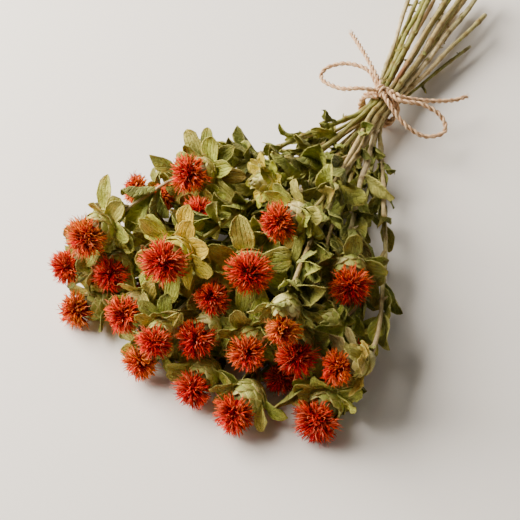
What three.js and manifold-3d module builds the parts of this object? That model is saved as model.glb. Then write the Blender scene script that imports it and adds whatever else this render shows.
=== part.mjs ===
// A bunch of dried safflowers, tied with jute twine and lying on a surface.
// Millimetres, +Z up. Places are given from the tie: x to the right, y towards the cut stem ends, z up from
// the surface. TIE_AT is the tie's own place. The origin is at the bottom centre of the bunch's box.
import * as THREE from "three";
import { mergeVertices } from "three/addons/utils/BufferGeometryUtils.js";
import Module from "manifold-3d";

const wasm = await Module();
wasm.setup();

// Driving dimensions of the stems and the tie
const TIE_AT = [4.76, 48.35, 0];
const TIE_HEIGHT = 15.8;
const CUT_RADIUS = 2;
const TIE_RADIUS = 1.85;
const NECK_RADIUS = 1.3;
const RING_RADII = [0, 4.2, 8.5];
const RING_PLACES = [1, 6, 14];
const TIE_REACH = 15;
const CUT_END_Y = 134;
const CUT_END_VARIES = 26;
const CUT_SPREAD_X = 2.7;
const CUT_SPREAD_Z = 1.7;
const CUT_LEAN_X = -10;
const CLEARANCE = 0.35;
const FINEST_DETAIL = 0.0006;
const HAIR = 0.06;
const MOST_ATTEMPTS = 60;

// Driving dimensions of a head with a floret ball 24 wide, which the others scale from
const FULL_WIDTH = 24;
const INVOLUCRE_LENGTH = 18;
const INVOLUCRE_RADIUS = 9.3;
const MOUTH_RADIUS = 6.4;
const BALL_ABOVE_MOUTH = 6.4;
const BALL_FLATTENED = 0.88;
const CORE_SHARE = 0.72;
const FINE_FROM_SIZE = 0.95;

// Driving dimensions of the blades
const ROOT_THICKNESS = 2;
const TIP_THICKNESS = 0.9;
const LEAVES_PER_STEM = 6;
const LEAVES_PER_INNER_STEM = 3;
const LEAVES_PER_BRANCH = 2;
const BRACTS_PER_HEAD = 5;
const BRACTS_PER_HIDDEN_HEAD = 3;
const BUD_BRACT_SIZE = 0.6;
const ROOT_SUNK = 1;

// Driving dimensions of the twine
const TWINE_RADIUS = 1.5;
const TWINE_SIDES = 5;
const WRAP_TURNS = 3;
const WRAP_PITCH = 3;
const KNOT_HEIGHT = 31.4;

// Flower heads: place of the floret ball's centre, the way it faces (turn from -y towards +x and lift above
// level, in degrees) and the ball's width.
const HEADS = {
  1: [-55, -142, 51, -9, 36, 24],
  2: [-91, -147, 24, -75, 20, 19],
  3: [-69, -150, 31.5, -35, 10, 17],
  4: [-40, -157, 41, 10, 40, 19],
  5: [-77, -212, 51, 1, 17, 25],
  6: [-25, -213, 63, 0, 27, 26],
  7: [14, -160, 65, -26, 15, 22],
  8: [16, -196, 61, 30, 37, 25],
  9: [-87, -221, 30, -29, 12, 20],
  10: [-61.5, -214, 32, 10, 20, 21],
  11: [2, -210, 47, 15, 16, 20],
  12: [61, -167, 48, 30, 9, 24],
  13: [-76.5, -231.5, 9.5, -32, 14, 23],
  14: [-42, -231, 27, -10, 15, 23],
  15: [2, -227, 30, 1, 17, 22],
  16: [47, -215, 56, 20, -18, 19],
  17: [31, -223, 33, 25, 10, 21],
  18: [77, -211, 39, -39, 4, 20],
  19: [54, -213, 34, 20, 12, 22],
  20: [-24, -244, 12, 5, 6, 21],
  21: [-15, -240, 32, 15, 15, 19],
  22: [10, -244, 12, 3, 9, 22],
  23: [37, -247, 13, -2, 6, 23],
  24: [75.5, -227.5, 10.5, 5, 10, 26],
  25: [46, -214.5, 11, 20, 4, 18],
  26: [-47, -202, 11, -20, 2, 20],
  27: [0, -200, 11, -8, 2, 20],
  28: [72, -184, 12, 42, 2, 20],
  30: [-14, -140, 62, -25, 20, 18],
  31: [55.4, -187.8, 36.7, -40, 20, 17],
};
const BUDS = [30, 31];
const HIDDEN = [25, 26, 27, 28];

// Stems: the ring and place that each takes under the twine, and the heads that it carries, the tip's first.
// A side head's branch leaves at the named point of the stem's line. Some stems are cut shorter, at cut.
const STEMS = [
  { ring: 2, place: 0, heads: [18, 31], fork: 6, cut: [24, 124, 19] },
  { ring: 2, place: 1, heads: [12] },
  { ring: 2, place: 2, heads: [16] },
  { ring: 2, place: 3, heads: [7, 30], fork: 5 },
  { ring: 2, place: 4, heads: [6] },
  { ring: 2, place: 5, heads: [1] },
  { ring: 2, place: 6, heads: [5], cut: [-30, 110, 22] },
  { ring: 2, place: 7, heads: [2, 3], fork: 6 },
  { ring: 2, place: 8, heads: [13, 9], fork: 6 },
  { ring: 2, place: 9, heads: [14, 26], fork: 6 },
  { ring: 2, place: 10, heads: [20, 21], fork: 7 },
  { ring: 2, place: 11, heads: [22, 27], fork: 6 },
  { ring: 2, place: 12, heads: [23, 25], fork: 6 },
  { ring: 2, place: 13, heads: [24, 28], fork: 6, cut: [25, 98, 9] },
  { ring: 1, place: 0, heads: [17] },
  { ring: 1, place: 1, heads: [8] },
  { ring: 1, place: 2, heads: [4] },
  { ring: 1, place: 3, heads: [10] },
  { ring: 1, place: 4, heads: [15] },
  { ring: 1, place: 5, heads: [19] },
  { ring: 0, place: 0, heads: [11] },
];

// Large leaves that stand out of the bunch: the stem, where the tip is and the leaf's width.
const OUTER_LEAVES = [
  { stem: 7, tip: [-115, -163, 20], width: 11 },
  { stem: 6, tip: [-76, -108, 34], width: 12 },
  { stem: 5, tip: [-58, -94, 38], width: 11 },
  { stem: 8, tip: [-44, -54, 20], width: 13 },
  { stem: 1, tip: [50, -86, 34], width: 13 },
  { stem: 0, tip: [66, -118, 24], width: 12 },
];

// Places beside the bunch that its leaves and bracts leave free, and how far.
const OPEN_PLACES = [
  [75, -104, 37, 14],
  [88, -130, 31, 12],
  [112, -195, 32, 24],
  [102, -231, 5, 16],
  [104, -212, 16, 12],
  [4, -37, 52, 12],
  [-52, -250, 4, 12],
  [-97, -193, 72, 14],
  [-104, -204, 58, 13],
  [-108, -212, 43, 12],
  [-38, -84, 56, 12],
  [-50, -105, 70, 14],
];

// The bow's tubes, from the knot outwards.
const LEFT_LOOP = [
  [-3, 2],
  [-16, 13, 32],
  [-33, 15, 29],
  [-44, 8, 25],
  [-42, -1, 23],
  [-26, -7, 27],
  [-12, -6, 32],
  [-3, -2],
];
const RIGHT_LOOP = [
  [3, 2],
  [15, -4, 32],
  [29, 2, 30],
  [42, 3, 25],
  [48, -4, 20],
  [38, -12, 18],
  [24, -14, 24],
  [10, -9, 31],
  [3, -2],
];
const LEFT_TAIL = [
  [-1, 3],
  [-11, 12, 34],
  [-27, 28, 33],
  [-45, 47, 28],
];
const RIGHT_TAIL = [
  [3, 3],
  [14, 2, 30],
  [27, 13, 24],
  [40, 26, 20],
  [47, 36, 19],
];
const LOOP_STEPS = 10;
const TAIL_STEPS = 6;

const vector = (x, y, z) => new THREE.Vector3(x, y, z);
const radians = THREE.MathUtils.degToRad;

// A repeatable draw between 0 and 1 for any three numbers.
function draw(a, b, c) {
  const wave = Math.sin(a * 12.9898 + b * 78.233 + c * 37.719) * 43758.5453;
  return wave - Math.floor(wave);
}

const drawBetween = (low, high, a, b, c) => low + (high - low) * draw(a, b, c);

// Heads

function headOf(number) {
  const [x, y, z, turn, lift, width] = HEADS[number];
  const [t, l] = [radians(turn), radians(lift)];
  const facing = vector(Math.sin(t) * Math.cos(l), -Math.cos(t) * Math.cos(l), Math.sin(l));
  const size = width / FULL_WIDTH;
  const centre = vector(x, y, z);
  const mouth = centre.clone().addScaledVector(facing, -BALL_ABOVE_MOUTH * size);
  const base = mouth.clone().addScaledVector(facing, -INVOLUCRE_LENGTH * size);
  return { number, facing, size, centre, mouth, base, radius: width / 2, isBud: BUDS.includes(number) };
}

const heads = Object.fromEntries(Object.keys(HEADS).map((n) => [n, headOf(Number(n))]));

// The balls that stems and blades keep clear of: the involucre and the florets of each head.
function ballsOf(head) {
  const belly = head.base.clone().addScaledVector(head.facing, INVOLUCRE_LENGTH * head.size * 0.5);
  const involucre = { part: "involucre", centre: belly, radius: INVOLUCRE_RADIUS * head.size + 0.4 };
  const florets = { part: "florets", centre: head.centre, radius: head.radius };
  const parts = head.isBud ? [involucre] : [involucre, florets];
  return parts.map((ball) => ({ head: head.number, ...ball }));
}

const balls = Object.values(heads).flatMap(ballsOf);

// Stem lines: each runs straight through the tie and then bends to its head. Lines that lie too close are
// pushed apart.

const LINE_STEPS = 8;
const BRANCH_STEPS = 4;
const FRONT_POINT = 2;
const FORK_SHARE = 0.45;
const ARRIVE_SHARE = 0.7;
const LONGEST_PUSH = 3;
const STEM_SPACING = 4.6;
const BALL_SPACING = 2.4;
const ROUNDS = 90;
const SMOOTH_ROUNDS = 70;
const SMOOTHING = 0.15;
const FAR_APART = 60;

function hermite(a, leave, b, arrive, t) {
  const [t2, t3] = [t * t, t * t * t];
  return vector(0, 0, 0)
    .addScaledVector(a, 2 * t3 - 3 * t2 + 1)
    .addScaledVector(leave, t3 - 2 * t2 + t)
    .addScaledVector(b, 3 * t2 - 2 * t3)
    .addScaledVector(arrive, t3 - t2);
}

function stemLine(stem, index) {
  const angle = (2 * Math.PI * (stem.place + (stem.ring === 1 ? 0.25 : 0))) / RING_PLACES[stem.ring];
  const [sx, sz] = [RING_RADII[stem.ring] * Math.cos(angle), RING_RADII[stem.ring] * Math.sin(angle)];
  const head = heads[stem.heads[0]];
  const cutY = CUT_END_Y + CUT_END_VARIES * draw(index, 1, 7);
  const cutZ = Math.max(CUT_RADIUS - 0.5, TIE_HEIGHT + sz * CUT_SPREAD_Z);
  const cutX = sx * CUT_SPREAD_X + 6 * draw(index, 2, 7) - 3 + CUT_LEAN_X;
  const cut = vector(...(stem.cut ?? [cutX, cutY, cutZ]));
  const back = vector(sx, TIE_REACH, TIE_HEIGHT + sz);
  const front = vector(sx, -TIE_REACH, TIE_HEIGHT + sz);
  const reach = front.distanceTo(head.base);
  const leave = vector(sx * 3, -reach, sz * 2);
  const arrive = head.facing.clone().multiplyScalar(reach * ARRIVE_SHARE);
  const points = [cut, back, front];
  for (let k = 1; k < LINE_STEPS; k += 1)
    points.push(hermite(front, leave, head.base, arrive, k / LINE_STEPS));
  points.push(head.base.clone());
  return { stem: index, head: head.number, points, trunk: null, fork: 0 };
}

// A branch leaves its stem between two of the line's points.
function forkPoint(trunk, fork) {
  return trunk.points[fork].clone().lerp(trunk.points[fork + 1], FORK_SHARE);
}

function branchLine(stem, index, trunk) {
  const head = heads[stem.heads[1]];
  const start = forkPoint(trunk, stem.fork);
  const reach = start.distanceTo(head.base);
  const along = start.clone().sub(trunk.points[stem.fork]).normalize();
  const leave = along.multiplyScalar(reach);
  const arrive = head.facing.clone().multiplyScalar(reach * ARRIVE_SHARE);
  const points = [start.clone()];
  for (let k = 1; k < BRANCH_STEPS; k += 1)
    points.push(hermite(start, leave, head.base, arrive, k / BRANCH_STEPS));
  points.push(head.base.clone());
  return { stem: index, head: head.number, points, trunk, fork: stem.fork };
}

// How far along each of two segments their nearest points lie.
function nearestShares(p1, q1, p2, q2) {
  const [d1, d2, r] = [q1.clone().sub(p1), q2.clone().sub(p2), p1.clone().sub(p2)];
  const [a, e, f, c, b] = [d1.dot(d1), d2.dot(d2), d2.dot(r), d1.dot(r), d1.dot(d2)];
  const clamp = (x) => Math.min(1, Math.max(0, x));
  const s = clamp((b * f - c * e) / Math.max(a * e - b * b, 1e-9));
  const t = (b * s + f) / e;
  if (t < 0) return [clamp(-c / a), 0];
  if (t > 1) return [clamp((b - c) / a), 1];
  return [s, t];
}

const firstSegment = (line) => (line.trunk ? 0 : FRONT_POINT);

function isFree(line, k) {
  return k > firstSegment(line) && k < line.points.length - 1;
}

function joinedAtFork(a, m, b, n) {
  return a.stem === b.stem && n < 1 && Math.abs(m - b.fork) < 1.6;
}

function pushLinesApart(lines) {
  for (let round = 0; round < ROUNDS; round += 1) {
    const pushes = lines.map((line) => line.points.map(() => vector(0, 0, 0)));
    const share = (i, k, part, push) => {
      pushes[i][k].addScaledVector(push, 1 - part);
      pushes[i][k + 1].addScaledVector(push, part);
    };
    const pushPair = (i, m, j, n) => {
      const [a, b] = [lines[i].points, lines[j].points];
      if (joinedAtFork(lines[i], m, lines[j], n) || Math.abs(a[m].y - b[n].y) > FAR_APART) return;
      const [s, t] = nearestShares(a[m], a[m + 1], b[n], b[n + 1]);
      const gap = a[m].clone().lerp(a[m + 1], s);
      gap.sub(b[n].clone().lerp(b[n + 1], t));
      const short = STEM_SPACING - gap.length();
      if (short <= 0) return;
      gap.setLength(short * 0.5);
      share(i, m, s, gap);
      share(j, n, t, gap.negate());
    };
    const pushOffBall = (i, m, ball) => {
      if (ball.head === lines[i].head) return;
      const a = lines[i].points;
      const along = a[m + 1].clone().sub(a[m]);
      const toBall = ball.centre.clone().sub(a[m]);
      const s = Math.min(1, Math.max(0, toBall.dot(along) / along.lengthSq()));
      const gap = along.multiplyScalar(s).sub(toBall);
      const short = ball.radius + BALL_SPACING - gap.length();
      if (short > 0) share(i, m, s, gap.setLength(short));
    };
    lines.forEach((a, i) => {
      for (let m = firstSegment(a); m < a.points.length - 1; m += 1) {
        for (let j = i + 1; j < lines.length; j += 1)
          for (let n = firstSegment(lines[j]); n < lines[j].points.length - 1; n += 1) pushPair(i, m, j, n);
        for (const ball of balls) pushOffBall(i, m, ball);
      }
    });
    const smoothing = round < SMOOTH_ROUNDS ? SMOOTHING : 0;
    lines.forEach((line, i) => {
      line.points.forEach((point, k) => {
        if (!isFree(line, k)) return;
        const between = line.points[k - 1].clone().add(line.points[k + 1]).multiplyScalar(0.5);
        pushes[i][k].addScaledVector(between.sub(point), smoothing);
      });
    });
    lines.forEach((line, i) => {
      line.points.forEach((point, k) => {
        if (!isFree(line, k)) return;
        point.add(pushes[i][k].clampLength(0, LONGEST_PUSH));
        point.z = Math.max(point.z, TIE_RADIUS + 1);
      });
      if (line.trunk) line.points[0].copy(forkPoint(line.trunk, line.fork));
    });
  }
  return lines;
}

const trunks = STEMS.map(stemLine);
const branches = STEMS.flatMap((stem, i) => (stem.heads[1] ? [branchLine(stem, i, trunks[i])] : []));
const lines = pushLinesApart([...trunks, ...branches]);

// Blades: leaves and bracts. Each is an arched, folded and waved blade, rooted inside what it grows from.

const LEAF_ROWS = [0.2, 0.5, 0.8];
const BRACT_ROWS = [0.3, 0.7];

// Half the blade's width, as a share of its widest, at a share of its length.
function widthShare(t) {
  return (1 - t) ** 0.7 * (0.35 + 3 * t * (1 - 0.3 * t));
}

// One direction turned by an angle towards another that is square to it.
function turned(from, towards, angle) {
  return from.clone().multiplyScalar(Math.cos(angle)).addScaledVector(towards, Math.sin(angle));
}

// The middle of the blade, its sideways direction and its upper side at a share of its length.
function bladeAt(blade, t) {
  const angle = blade.bend * t;
  const forward = blade.bend ? Math.sin(angle) / blade.bend : t;
  const upward = blade.bend ? (1 - Math.cos(angle)) / blade.bend : 0;
  const middle = blade.root
    .clone()
    .addScaledVector(blade.along, blade.length * forward)
    .addScaledVector(blade.upper, blade.length * upward);
  const along = turned(blade.along, blade.upper, angle);
  const flatUpper = turned(blade.upper, blade.along, -angle);
  const flatSide = along.clone().cross(flatUpper);
  const turn = blade.twist * t;
  return { middle, side: turned(flatSide, flatUpper, turn), upper: turned(flatUpper, flatSide, -turn) };
}

// A point of the blade: t along it, and from -1 to 1 across it.
function bladePoint(blade, t, across) {
  const { middle, side, upper } = bladeAt(blade, t);
  const half = 0.5 * blade.width * widthShare(t);
  const wave = blade.wave * Math.sin(9 * t + blade.phase) * across;
  return middle
    .addScaledVector(side, half * across * Math.cos(blade.fold))
    .addScaledVector(upper, half * Math.abs(across) * Math.sin(blade.fold) + wave);
}

function bladeSolid(blade, rows) {
  const positions = [];
  const face = (...corners) => corners.forEach((corner) => positions.push(...corner.toArray()));
  const sections = rows.map((t) => {
    const half = THREE.MathUtils.lerp(ROOT_THICKNESS, TIP_THICKNESS, t) / 2;
    const { middle, upper } = bladeAt(blade, t);
    return {
      left: bladePoint(blade, t, -1),
      right: bladePoint(blade, t, 1),
      top: middle.clone().addScaledVector(upper, half),
      under: middle.clone().addScaledVector(upper, -half),
    };
  });
  const root = blade.root.clone().addScaledVector(blade.along, -ROOT_SUNK);
  const tip = bladePoint(blade, 1, 0);
  const start = sections[0];
  face(root, start.top, start.left);
  face(root, start.right, start.top);
  face(root, start.left, start.under);
  face(root, start.under, start.right);
  for (let k = 0; k + 1 < sections.length; k += 1) {
    const [a, b] = [sections[k], sections[k + 1]];
    face(a.left, a.top, b.top);
    face(a.left, b.top, b.left);
    face(a.right, b.top, a.top);
    face(a.right, b.right, b.top);
    face(a.left, b.under, a.under);
    face(a.left, b.left, b.under);
    face(a.right, a.under, b.under);
    face(a.right, b.under, b.right);
  }
  const end = sections.at(-1);
  face(end.left, end.top, tip);
  face(end.right, tip, end.top);
  face(end.left, tip, end.under);
  face(end.right, end.under, tip);
  return solidFrom(positions);
}

// Clearance of a blade, judged at a grid of points on it.

const GRID_STEP = 2.5;
const STEM_CLEAR = 3.1;
const OWN_STEM_CLEAR = 2.7;
const ROOT_REACH = 8;
const FORK_REACH = 5;
const BALL_CLEAR = 1.6;
const BLADE_CLEAR = 2.5;
const SISTER_CLEAR = 2.2;
const FLOOR_CLEAR = 1.1;
const WRAP_CLEAR = 36;
const ROOT_POINTS = 4;

function gridOf(blade) {
  const points = [];
  const rows = Math.ceil(blade.length / GRID_STEP);
  for (let k = 0; k <= rows; k += 1) {
    const t = k / rows;
    const columns = Math.max(1, Math.ceil((blade.width * widthShare(t)) / GRID_STEP));
    for (let n = 0; n <= columns; n += 1) points.push(bladePoint(blade, t, (2 * n) / columns - 1));
  }
  return points;
}

function distanceToSegment(point, a, b) {
  const along = b.clone().sub(a);
  const s = Math.min(1, Math.max(0, point.clone().sub(a).dot(along) / along.lengthSq()));
  return along.multiplyScalar(s).add(a).distanceTo(point);
}

const wrapCentre = vector(0, 0, TIE_HEIGHT);
const knotCentre = vector(0, 0, KNOT_HEIGHT);
const bowPoint = ([x, y, z]) => vector(x, y, z ?? KNOT_HEIGHT);
const loopLines = [LEFT_LOOP, RIGHT_LOOP].map((points) => points.map(bowPoint));
const tailLines = [LEFT_TAIL, RIGHT_TAIL].map((points) => points.map(bowPoint));
const obstacles = [
  ...lines.flatMap((line) => line.points.slice(1).map((b, k) => [line.stem, line.points[k], b])),
  ...[...loopLines, ...tailLines].flatMap((points) => points.slice(1).map((b, k) => [-1, points[k], b])),
];
const grown = [];

STEMS.forEach((stem, i) => stem.heads.forEach((number) => { heads[number].stem = i; }));

function isClear(blade) {
  const grid = gridOf(blade);
  const middle = bladePoint(blade, 0.5, 0);
  const reach = Math.max(...grid.map((point) => point.distanceTo(middle)));
  const near = (place, extra) => place.distanceTo(middle) < reach + extra;
  if (grid.some((point) => point.z < FLOOR_CLEAR || point.distanceTo(wrapCentre) < WRAP_CLEAR)) return false;
  if (OPEN_PLACES.some(([x, y, z, free]) => grid.some((point) => point.distanceTo(vector(x, y, z)) < free)))
    return false;
  for (const ball of balls) {
    if (ball.part === "involucre" && heads[ball.head].stem === blade.stem) continue;
    const clear = ball.radius + BALL_CLEAR;
    if (!near(ball.centre, clear)) continue;
    if (grid.some((point) => point.distanceTo(ball.centre) < clear)) return false;
  }
  if (branches.some(({ points }) => points[0].distanceTo(blade.root) < FORK_REACH)) return false;
  const beyondRoot = grid.filter((point) => point.distanceTo(blade.root) > ROOT_REACH);
  for (const [stem, a, b] of obstacles) {
    if (distanceToSegment(middle, a, b) > reach + STEM_CLEAR) continue;
    const [points, clear] = stem === blade.stem ? [beyondRoot, OWN_STEM_CLEAR] : [grid, STEM_CLEAR];
    if (points.some((point) => distanceToSegment(point, a, b) < clear)) return false;
  }
  for (const other of grown) {
    const clear = other.blade.stem === blade.stem ? SISTER_CLEAR : BLADE_CLEAR;
    if (!near(other.middle, other.reach + clear)) continue;
    const theirs = other.grid.slice(ROOT_POINTS);
    const tooNear = (point) => theirs.some((place) => place.distanceTo(point) < clear);
    if (grid.slice(ROOT_POINTS).some(tooNear)) return false;
  }
  grown.push({ blade, grid, middle, reach });
  return true;
}

// The first of several tries that is clear of everything that has grown so far, or nothing.
function grow(tries) {
  for (const blade of tries) if (isClear(blade)) return blade;
  return null;
}

// A point of a line, and the line's direction there, at a share of the way from its first free point to its
// end. It keeps off the line's bends, so that a root cuts only flat sides.
const BEND_KEEP = 0.38;

function placeOn(line, share) {
  const points = line.points.slice(firstSegment(line));
  const steps = points.slice(1).map((point, k) => point.distanceTo(points[k]));
  let rest = share * steps.reduce((sum, step) => sum + step, 0);
  let k = 0;
  while (k < steps.length - 1 && rest > steps[k]) {
    rest -= steps[k];
    k += 1;
  }
  const along = points[k + 1].clone().sub(points[k]).normalize();
  const onStretch = THREE.MathUtils.clamp(rest / steps[k], BEND_KEEP, 1 - BEND_KEEP);
  return { point: points[k].clone().lerp(points[k + 1], onStretch), along };
}

// A direction square to along, turned by an angle from the one nearest to outward.
function squareTo(along, outward, angle) {
  const first = outward.clone().addScaledVector(along, -outward.dot(along)).normalize();
  const second = along.clone().cross(first);
  return first.multiplyScalar(Math.cos(angle)).addScaledVector(second, Math.sin(angle));
}

// A blade that leaves root at an angle from along, towards the direction out.
function bladeFrom(stem, root, along, out, spread, shape) {
  const direction = along.clone().multiplyScalar(Math.cos(spread)).addScaledVector(out, Math.sin(spread));
  const upper = along.clone().multiplyScalar(Math.sin(spread)).addScaledVector(out, -Math.cos(spread));
  return { stem, root, along: direction, upper, twist: 0, wave: 0, phase: 0, bend: 0, ...shape };
}

function outerLeaf({ stem, tip, width }, index) {
  const end = vector(...tip);
  let best = null;
  for (let share = 0.05; share < 0.95; share += 0.05) {
    const { point, along } = placeOn(trunks[stem], share);
    const toTip = end.clone().sub(point);
    const length = toTip.length();
    const cost = Math.abs(length - 30) + 40 * Math.max(0, 0.4 - toTip.dot(along) / length);
    if (!best || cost < best.cost) best = { cost, point, along, toTip, length };
  }
  const out = squareTo(best.along, best.toTip, 0);
  const spread = best.toTip.angleTo(best.along);
  const shape = { width, length: best.length, fold: 0.45, wave: 0.8, phase: index };
  return bladeFrom(stem, best.point, best.along, out, spread, shape);
}

// The bracts of a head stand round its involucre and lean away from the florets.
function bractTries(head, place, count) {
  const seed = head.number;
  const size = head.isBud ? BUD_BRACT_SIZE : Math.max(head.size, 0.75);
  const angle = (2 * Math.PI * (place + 0.4 * draw(seed, place, 1))) / count + 5 * draw(seed, 0, 2);
  const up = squareTo(head.facing, vector(0, 0, 1), 0);
  const level = place % 2 ? 0.4 : 0.6;
  const spread = radians(drawBetween(52, 72, seed, place, 3));
  const shape = {
    length: drawBetween(13, 19, seed, place, 4) * size,
    width: drawBetween(9, 12.5, seed, place, 5) * size,
    bend: drawBetween(-0.7, 0.5, seed, place, 6),
    fold: drawBetween(0.2, 0.6, seed, place, 7),
    wave: 0.5,
    phase: 6 * draw(seed, place, 8),
  };
  const tries = [];
  for (const shorter of [1, 0.78])
    for (const lean of [0, 0.35, -0.25, 0.7])
      for (const shift of [0, 0.3, -0.3, 0.6, -0.6]) {
        const out = squareTo(head.facing, up, angle + shift);
        const root = head.base
          .clone()
          .addScaledVector(head.facing, INVOLUCRE_LENGTH * head.size * level)
          .addScaledVector(out, INVOLUCRE_RADIUS * head.size * 0.55);
        const reach = INVOLUCRE_RADIUS * head.size * 0.45;
        const length = shape.length * shorter + reach;
        tries.push(bladeFrom(head.stem, root, head.facing, out, spread + lean, { ...shape, length }));
      }
  return tries;
}

// Leaves stand out of the stem on the side away from the middle of the bunch, where there is room.
function leafTries(line, place, count) {
  const seed = 40 + line.head;
  const share = (place + 0.3 + 0.5 * draw(seed, place, 1)) / count;
  const nearTie = THREE.MathUtils.clamp(Math.abs(placeOn(line, share).point.y) / 90, 0.62, 1);
  const length = drawBetween(21, 32, seed, place, 2) * nearTie;
  const shape = {
    width: length * drawBetween(0.42, 0.56, seed, place, 3),
    bend: drawBetween(-0.6, 0.8, seed, place, 4),
    fold: drawBetween(0.25, 0.8, seed, place, 5),
    twist: drawBetween(-0.7, 0.7, seed, place, 6),
    wave: 0.9,
    phase: 6 * draw(seed, place, 7),
  };
  const angle = 2.4 * (draw(seed, place, 8) - 0.5);
  const spread = drawBetween(0.45, 0.95, seed, place, 9);
  const tries = [];
  for (const slide of [0, 0.06])
    for (const shorter of [1, 0.75])
      for (const lean of [0, -0.25, 0.4])
        for (const shift of [0, 0.6, -0.6, 1.2, -1.2, 1.8, -1.8, 2.5, -2.5]) {
          const { point, along } = placeOn(line, share + slide);
          const outward = point.clone().sub(vector(0, point.y, TIE_HEIGHT + 0.08 * Math.abs(point.y)));
          const out = squareTo(along, outward, angle + shift);
          const sized = { ...shape, length: length * shorter, width: shape.width * shorter };
          tries.push(bladeFrom(line.stem, point, along, out, spread + lean, sized));
        }
  return tries;
}

const leaves = OUTER_LEAVES.map(outerLeaf).filter(isClear);
const bracts = [];
for (const head of Object.values(heads)) {
  const count = HIDDEN.includes(head.number) ? BRACTS_PER_HIDDEN_HEAD : BRACTS_PER_HEAD;
  for (let place = 0; place < count; place += 1) {
    const bract = grow(bractTries(head, place, count));
    if (bract) bracts.push(bract);
  }
}
for (const line of lines) {
  const perStem = STEMS[line.stem].ring === 2 ? LEAVES_PER_STEM : LEAVES_PER_INNER_STEM;
  const count = line.trunk ? LEAVES_PER_BRANCH : perStem;
  for (let place = 0; place < count; place += 1) {
    const leaf = grow(leafTries(line, place, count));
    if (leaf) leaves.push(leaf);
  }
}

// Solids

function solidOf(geometry) {
  const bare = new THREE.BufferGeometry().setAttribute("position", geometry.getAttribute("position"));
  if (geometry.index) bare.setIndex(geometry.index);
  const merged = mergeVertices(bare, 1e-3);
  return new wasm.Manifold(
    new wasm.Mesh({
      numProp: 3,
      vertProperties: merged.attributes.position.array,
      triVerts: new Uint32Array(merged.index.array),
    }),
  );
}

function solidFrom(positions) {
  const loose = new THREE.BufferGeometry();
  loose.setAttribute("position", new THREE.Float32BufferAttribute(positions, 3));
  return solidOf(loose);
}

// A closed tube of straight stretches along the points. The radius may differ at each point and each side.
function tubeSolid(points, radiusAt, sides) {
  let across = vector(0, 0, 1);
  if (Math.abs(points[1].clone().sub(points[0]).normalize().z) > 0.9) across = vector(0, 1, 0);
  const rings = points.map((point, k) => {
    const before = points[Math.max(k - 1, 0)];
    const after = points[Math.min(k + 1, points.length - 1)];
    const along = after.clone().sub(before).normalize();
    across = across.clone().addScaledVector(along, -across.dot(along)).normalize();
    const third = along.clone().cross(across);
    return Array.from({ length: sides }, (_, n) => {
      const angle = (2 * Math.PI * (n + 0.5)) / sides;
      return point
        .clone()
        .addScaledVector(across, radiusAt(k, n) * Math.cos(angle))
        .addScaledVector(third, radiusAt(k, n) * Math.sin(angle));
    });
  });
  const positions = [];
  const face = (...corners) => corners.forEach((corner) => positions.push(...corner.toArray()));
  for (let k = 0; k + 1 < rings.length; k += 1)
    for (let n = 0; n < sides; n += 1) {
      const m = (n + 1) % sides;
      face(rings[k][n], rings[k][m], rings[k + 1][m]);
      face(rings[k][n], rings[k + 1][m], rings[k + 1][n]);
    }
  for (let n = 1; n + 1 < sides; n += 1) {
    face(rings[0][0], rings[0][n + 1], rings[0][n]);
    face(rings.at(-1)[0], rings.at(-1)[n], rings.at(-1)[n + 1]);
  }
  return solidFrom(positions);
}

const STEM_SIDES = 5;

function stemSolid(line) {
  const last = line.points.length - 1;
  const end = line.points[last].clone().addScaledVector(heads[line.head].facing, 2);
  const points = [...line.points.slice(0, last), end];
  const radiusAt = (k) => {
    if (line.trunk) return THREE.MathUtils.lerp(NECK_RADIUS + 0.2, NECK_RADIUS, k / last);
    if (k < 1) return CUT_RADIUS;
    if (k <= FRONT_POINT) return TIE_RADIUS;
    return THREE.MathUtils.lerp(TIE_RADIUS, NECK_RADIUS, (k - FRONT_POINT) / (last - FRONT_POINT));
  };
  return tubeSolid(points, radiusAt, STEM_SIDES);
}

// The involucre's sides rise and fall like its overlapping scales.
const INVOLUCRE_SIDES = 6;
const INVOLUCRE_PROFILE = [[0, 2.4], [0.3, 8.2], [0.7, INVOLUCRE_RADIUS], [1, MOUTH_RADIUS]];
const BUD_TIP = [1.5, 1.2];
const SCALE_RELIEF = 0.07;

function involucreSolid(head) {
  const profile = head.isBud ? [...INVOLUCRE_PROFILE, BUD_TIP] : INVOLUCRE_PROFILE;
  const points = profile.map(([share]) =>
    head.base.clone().addScaledVector(head.facing, share * INVOLUCRE_LENGTH * head.size),
  );
  const radiusAt = (k, n) => {
    const relief = k === 1 || k === 2 ? SCALE_RELIEF * ((k + n) % 2 ? -1 : 1) : 0;
    return profile[k][1] * head.size * (1 + relief - SCALE_RELIEF * (relief ? 1 : 0));
  };
  return tubeSolid(points, radiusAt, INVOLUCRE_SIDES);
}

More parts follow.
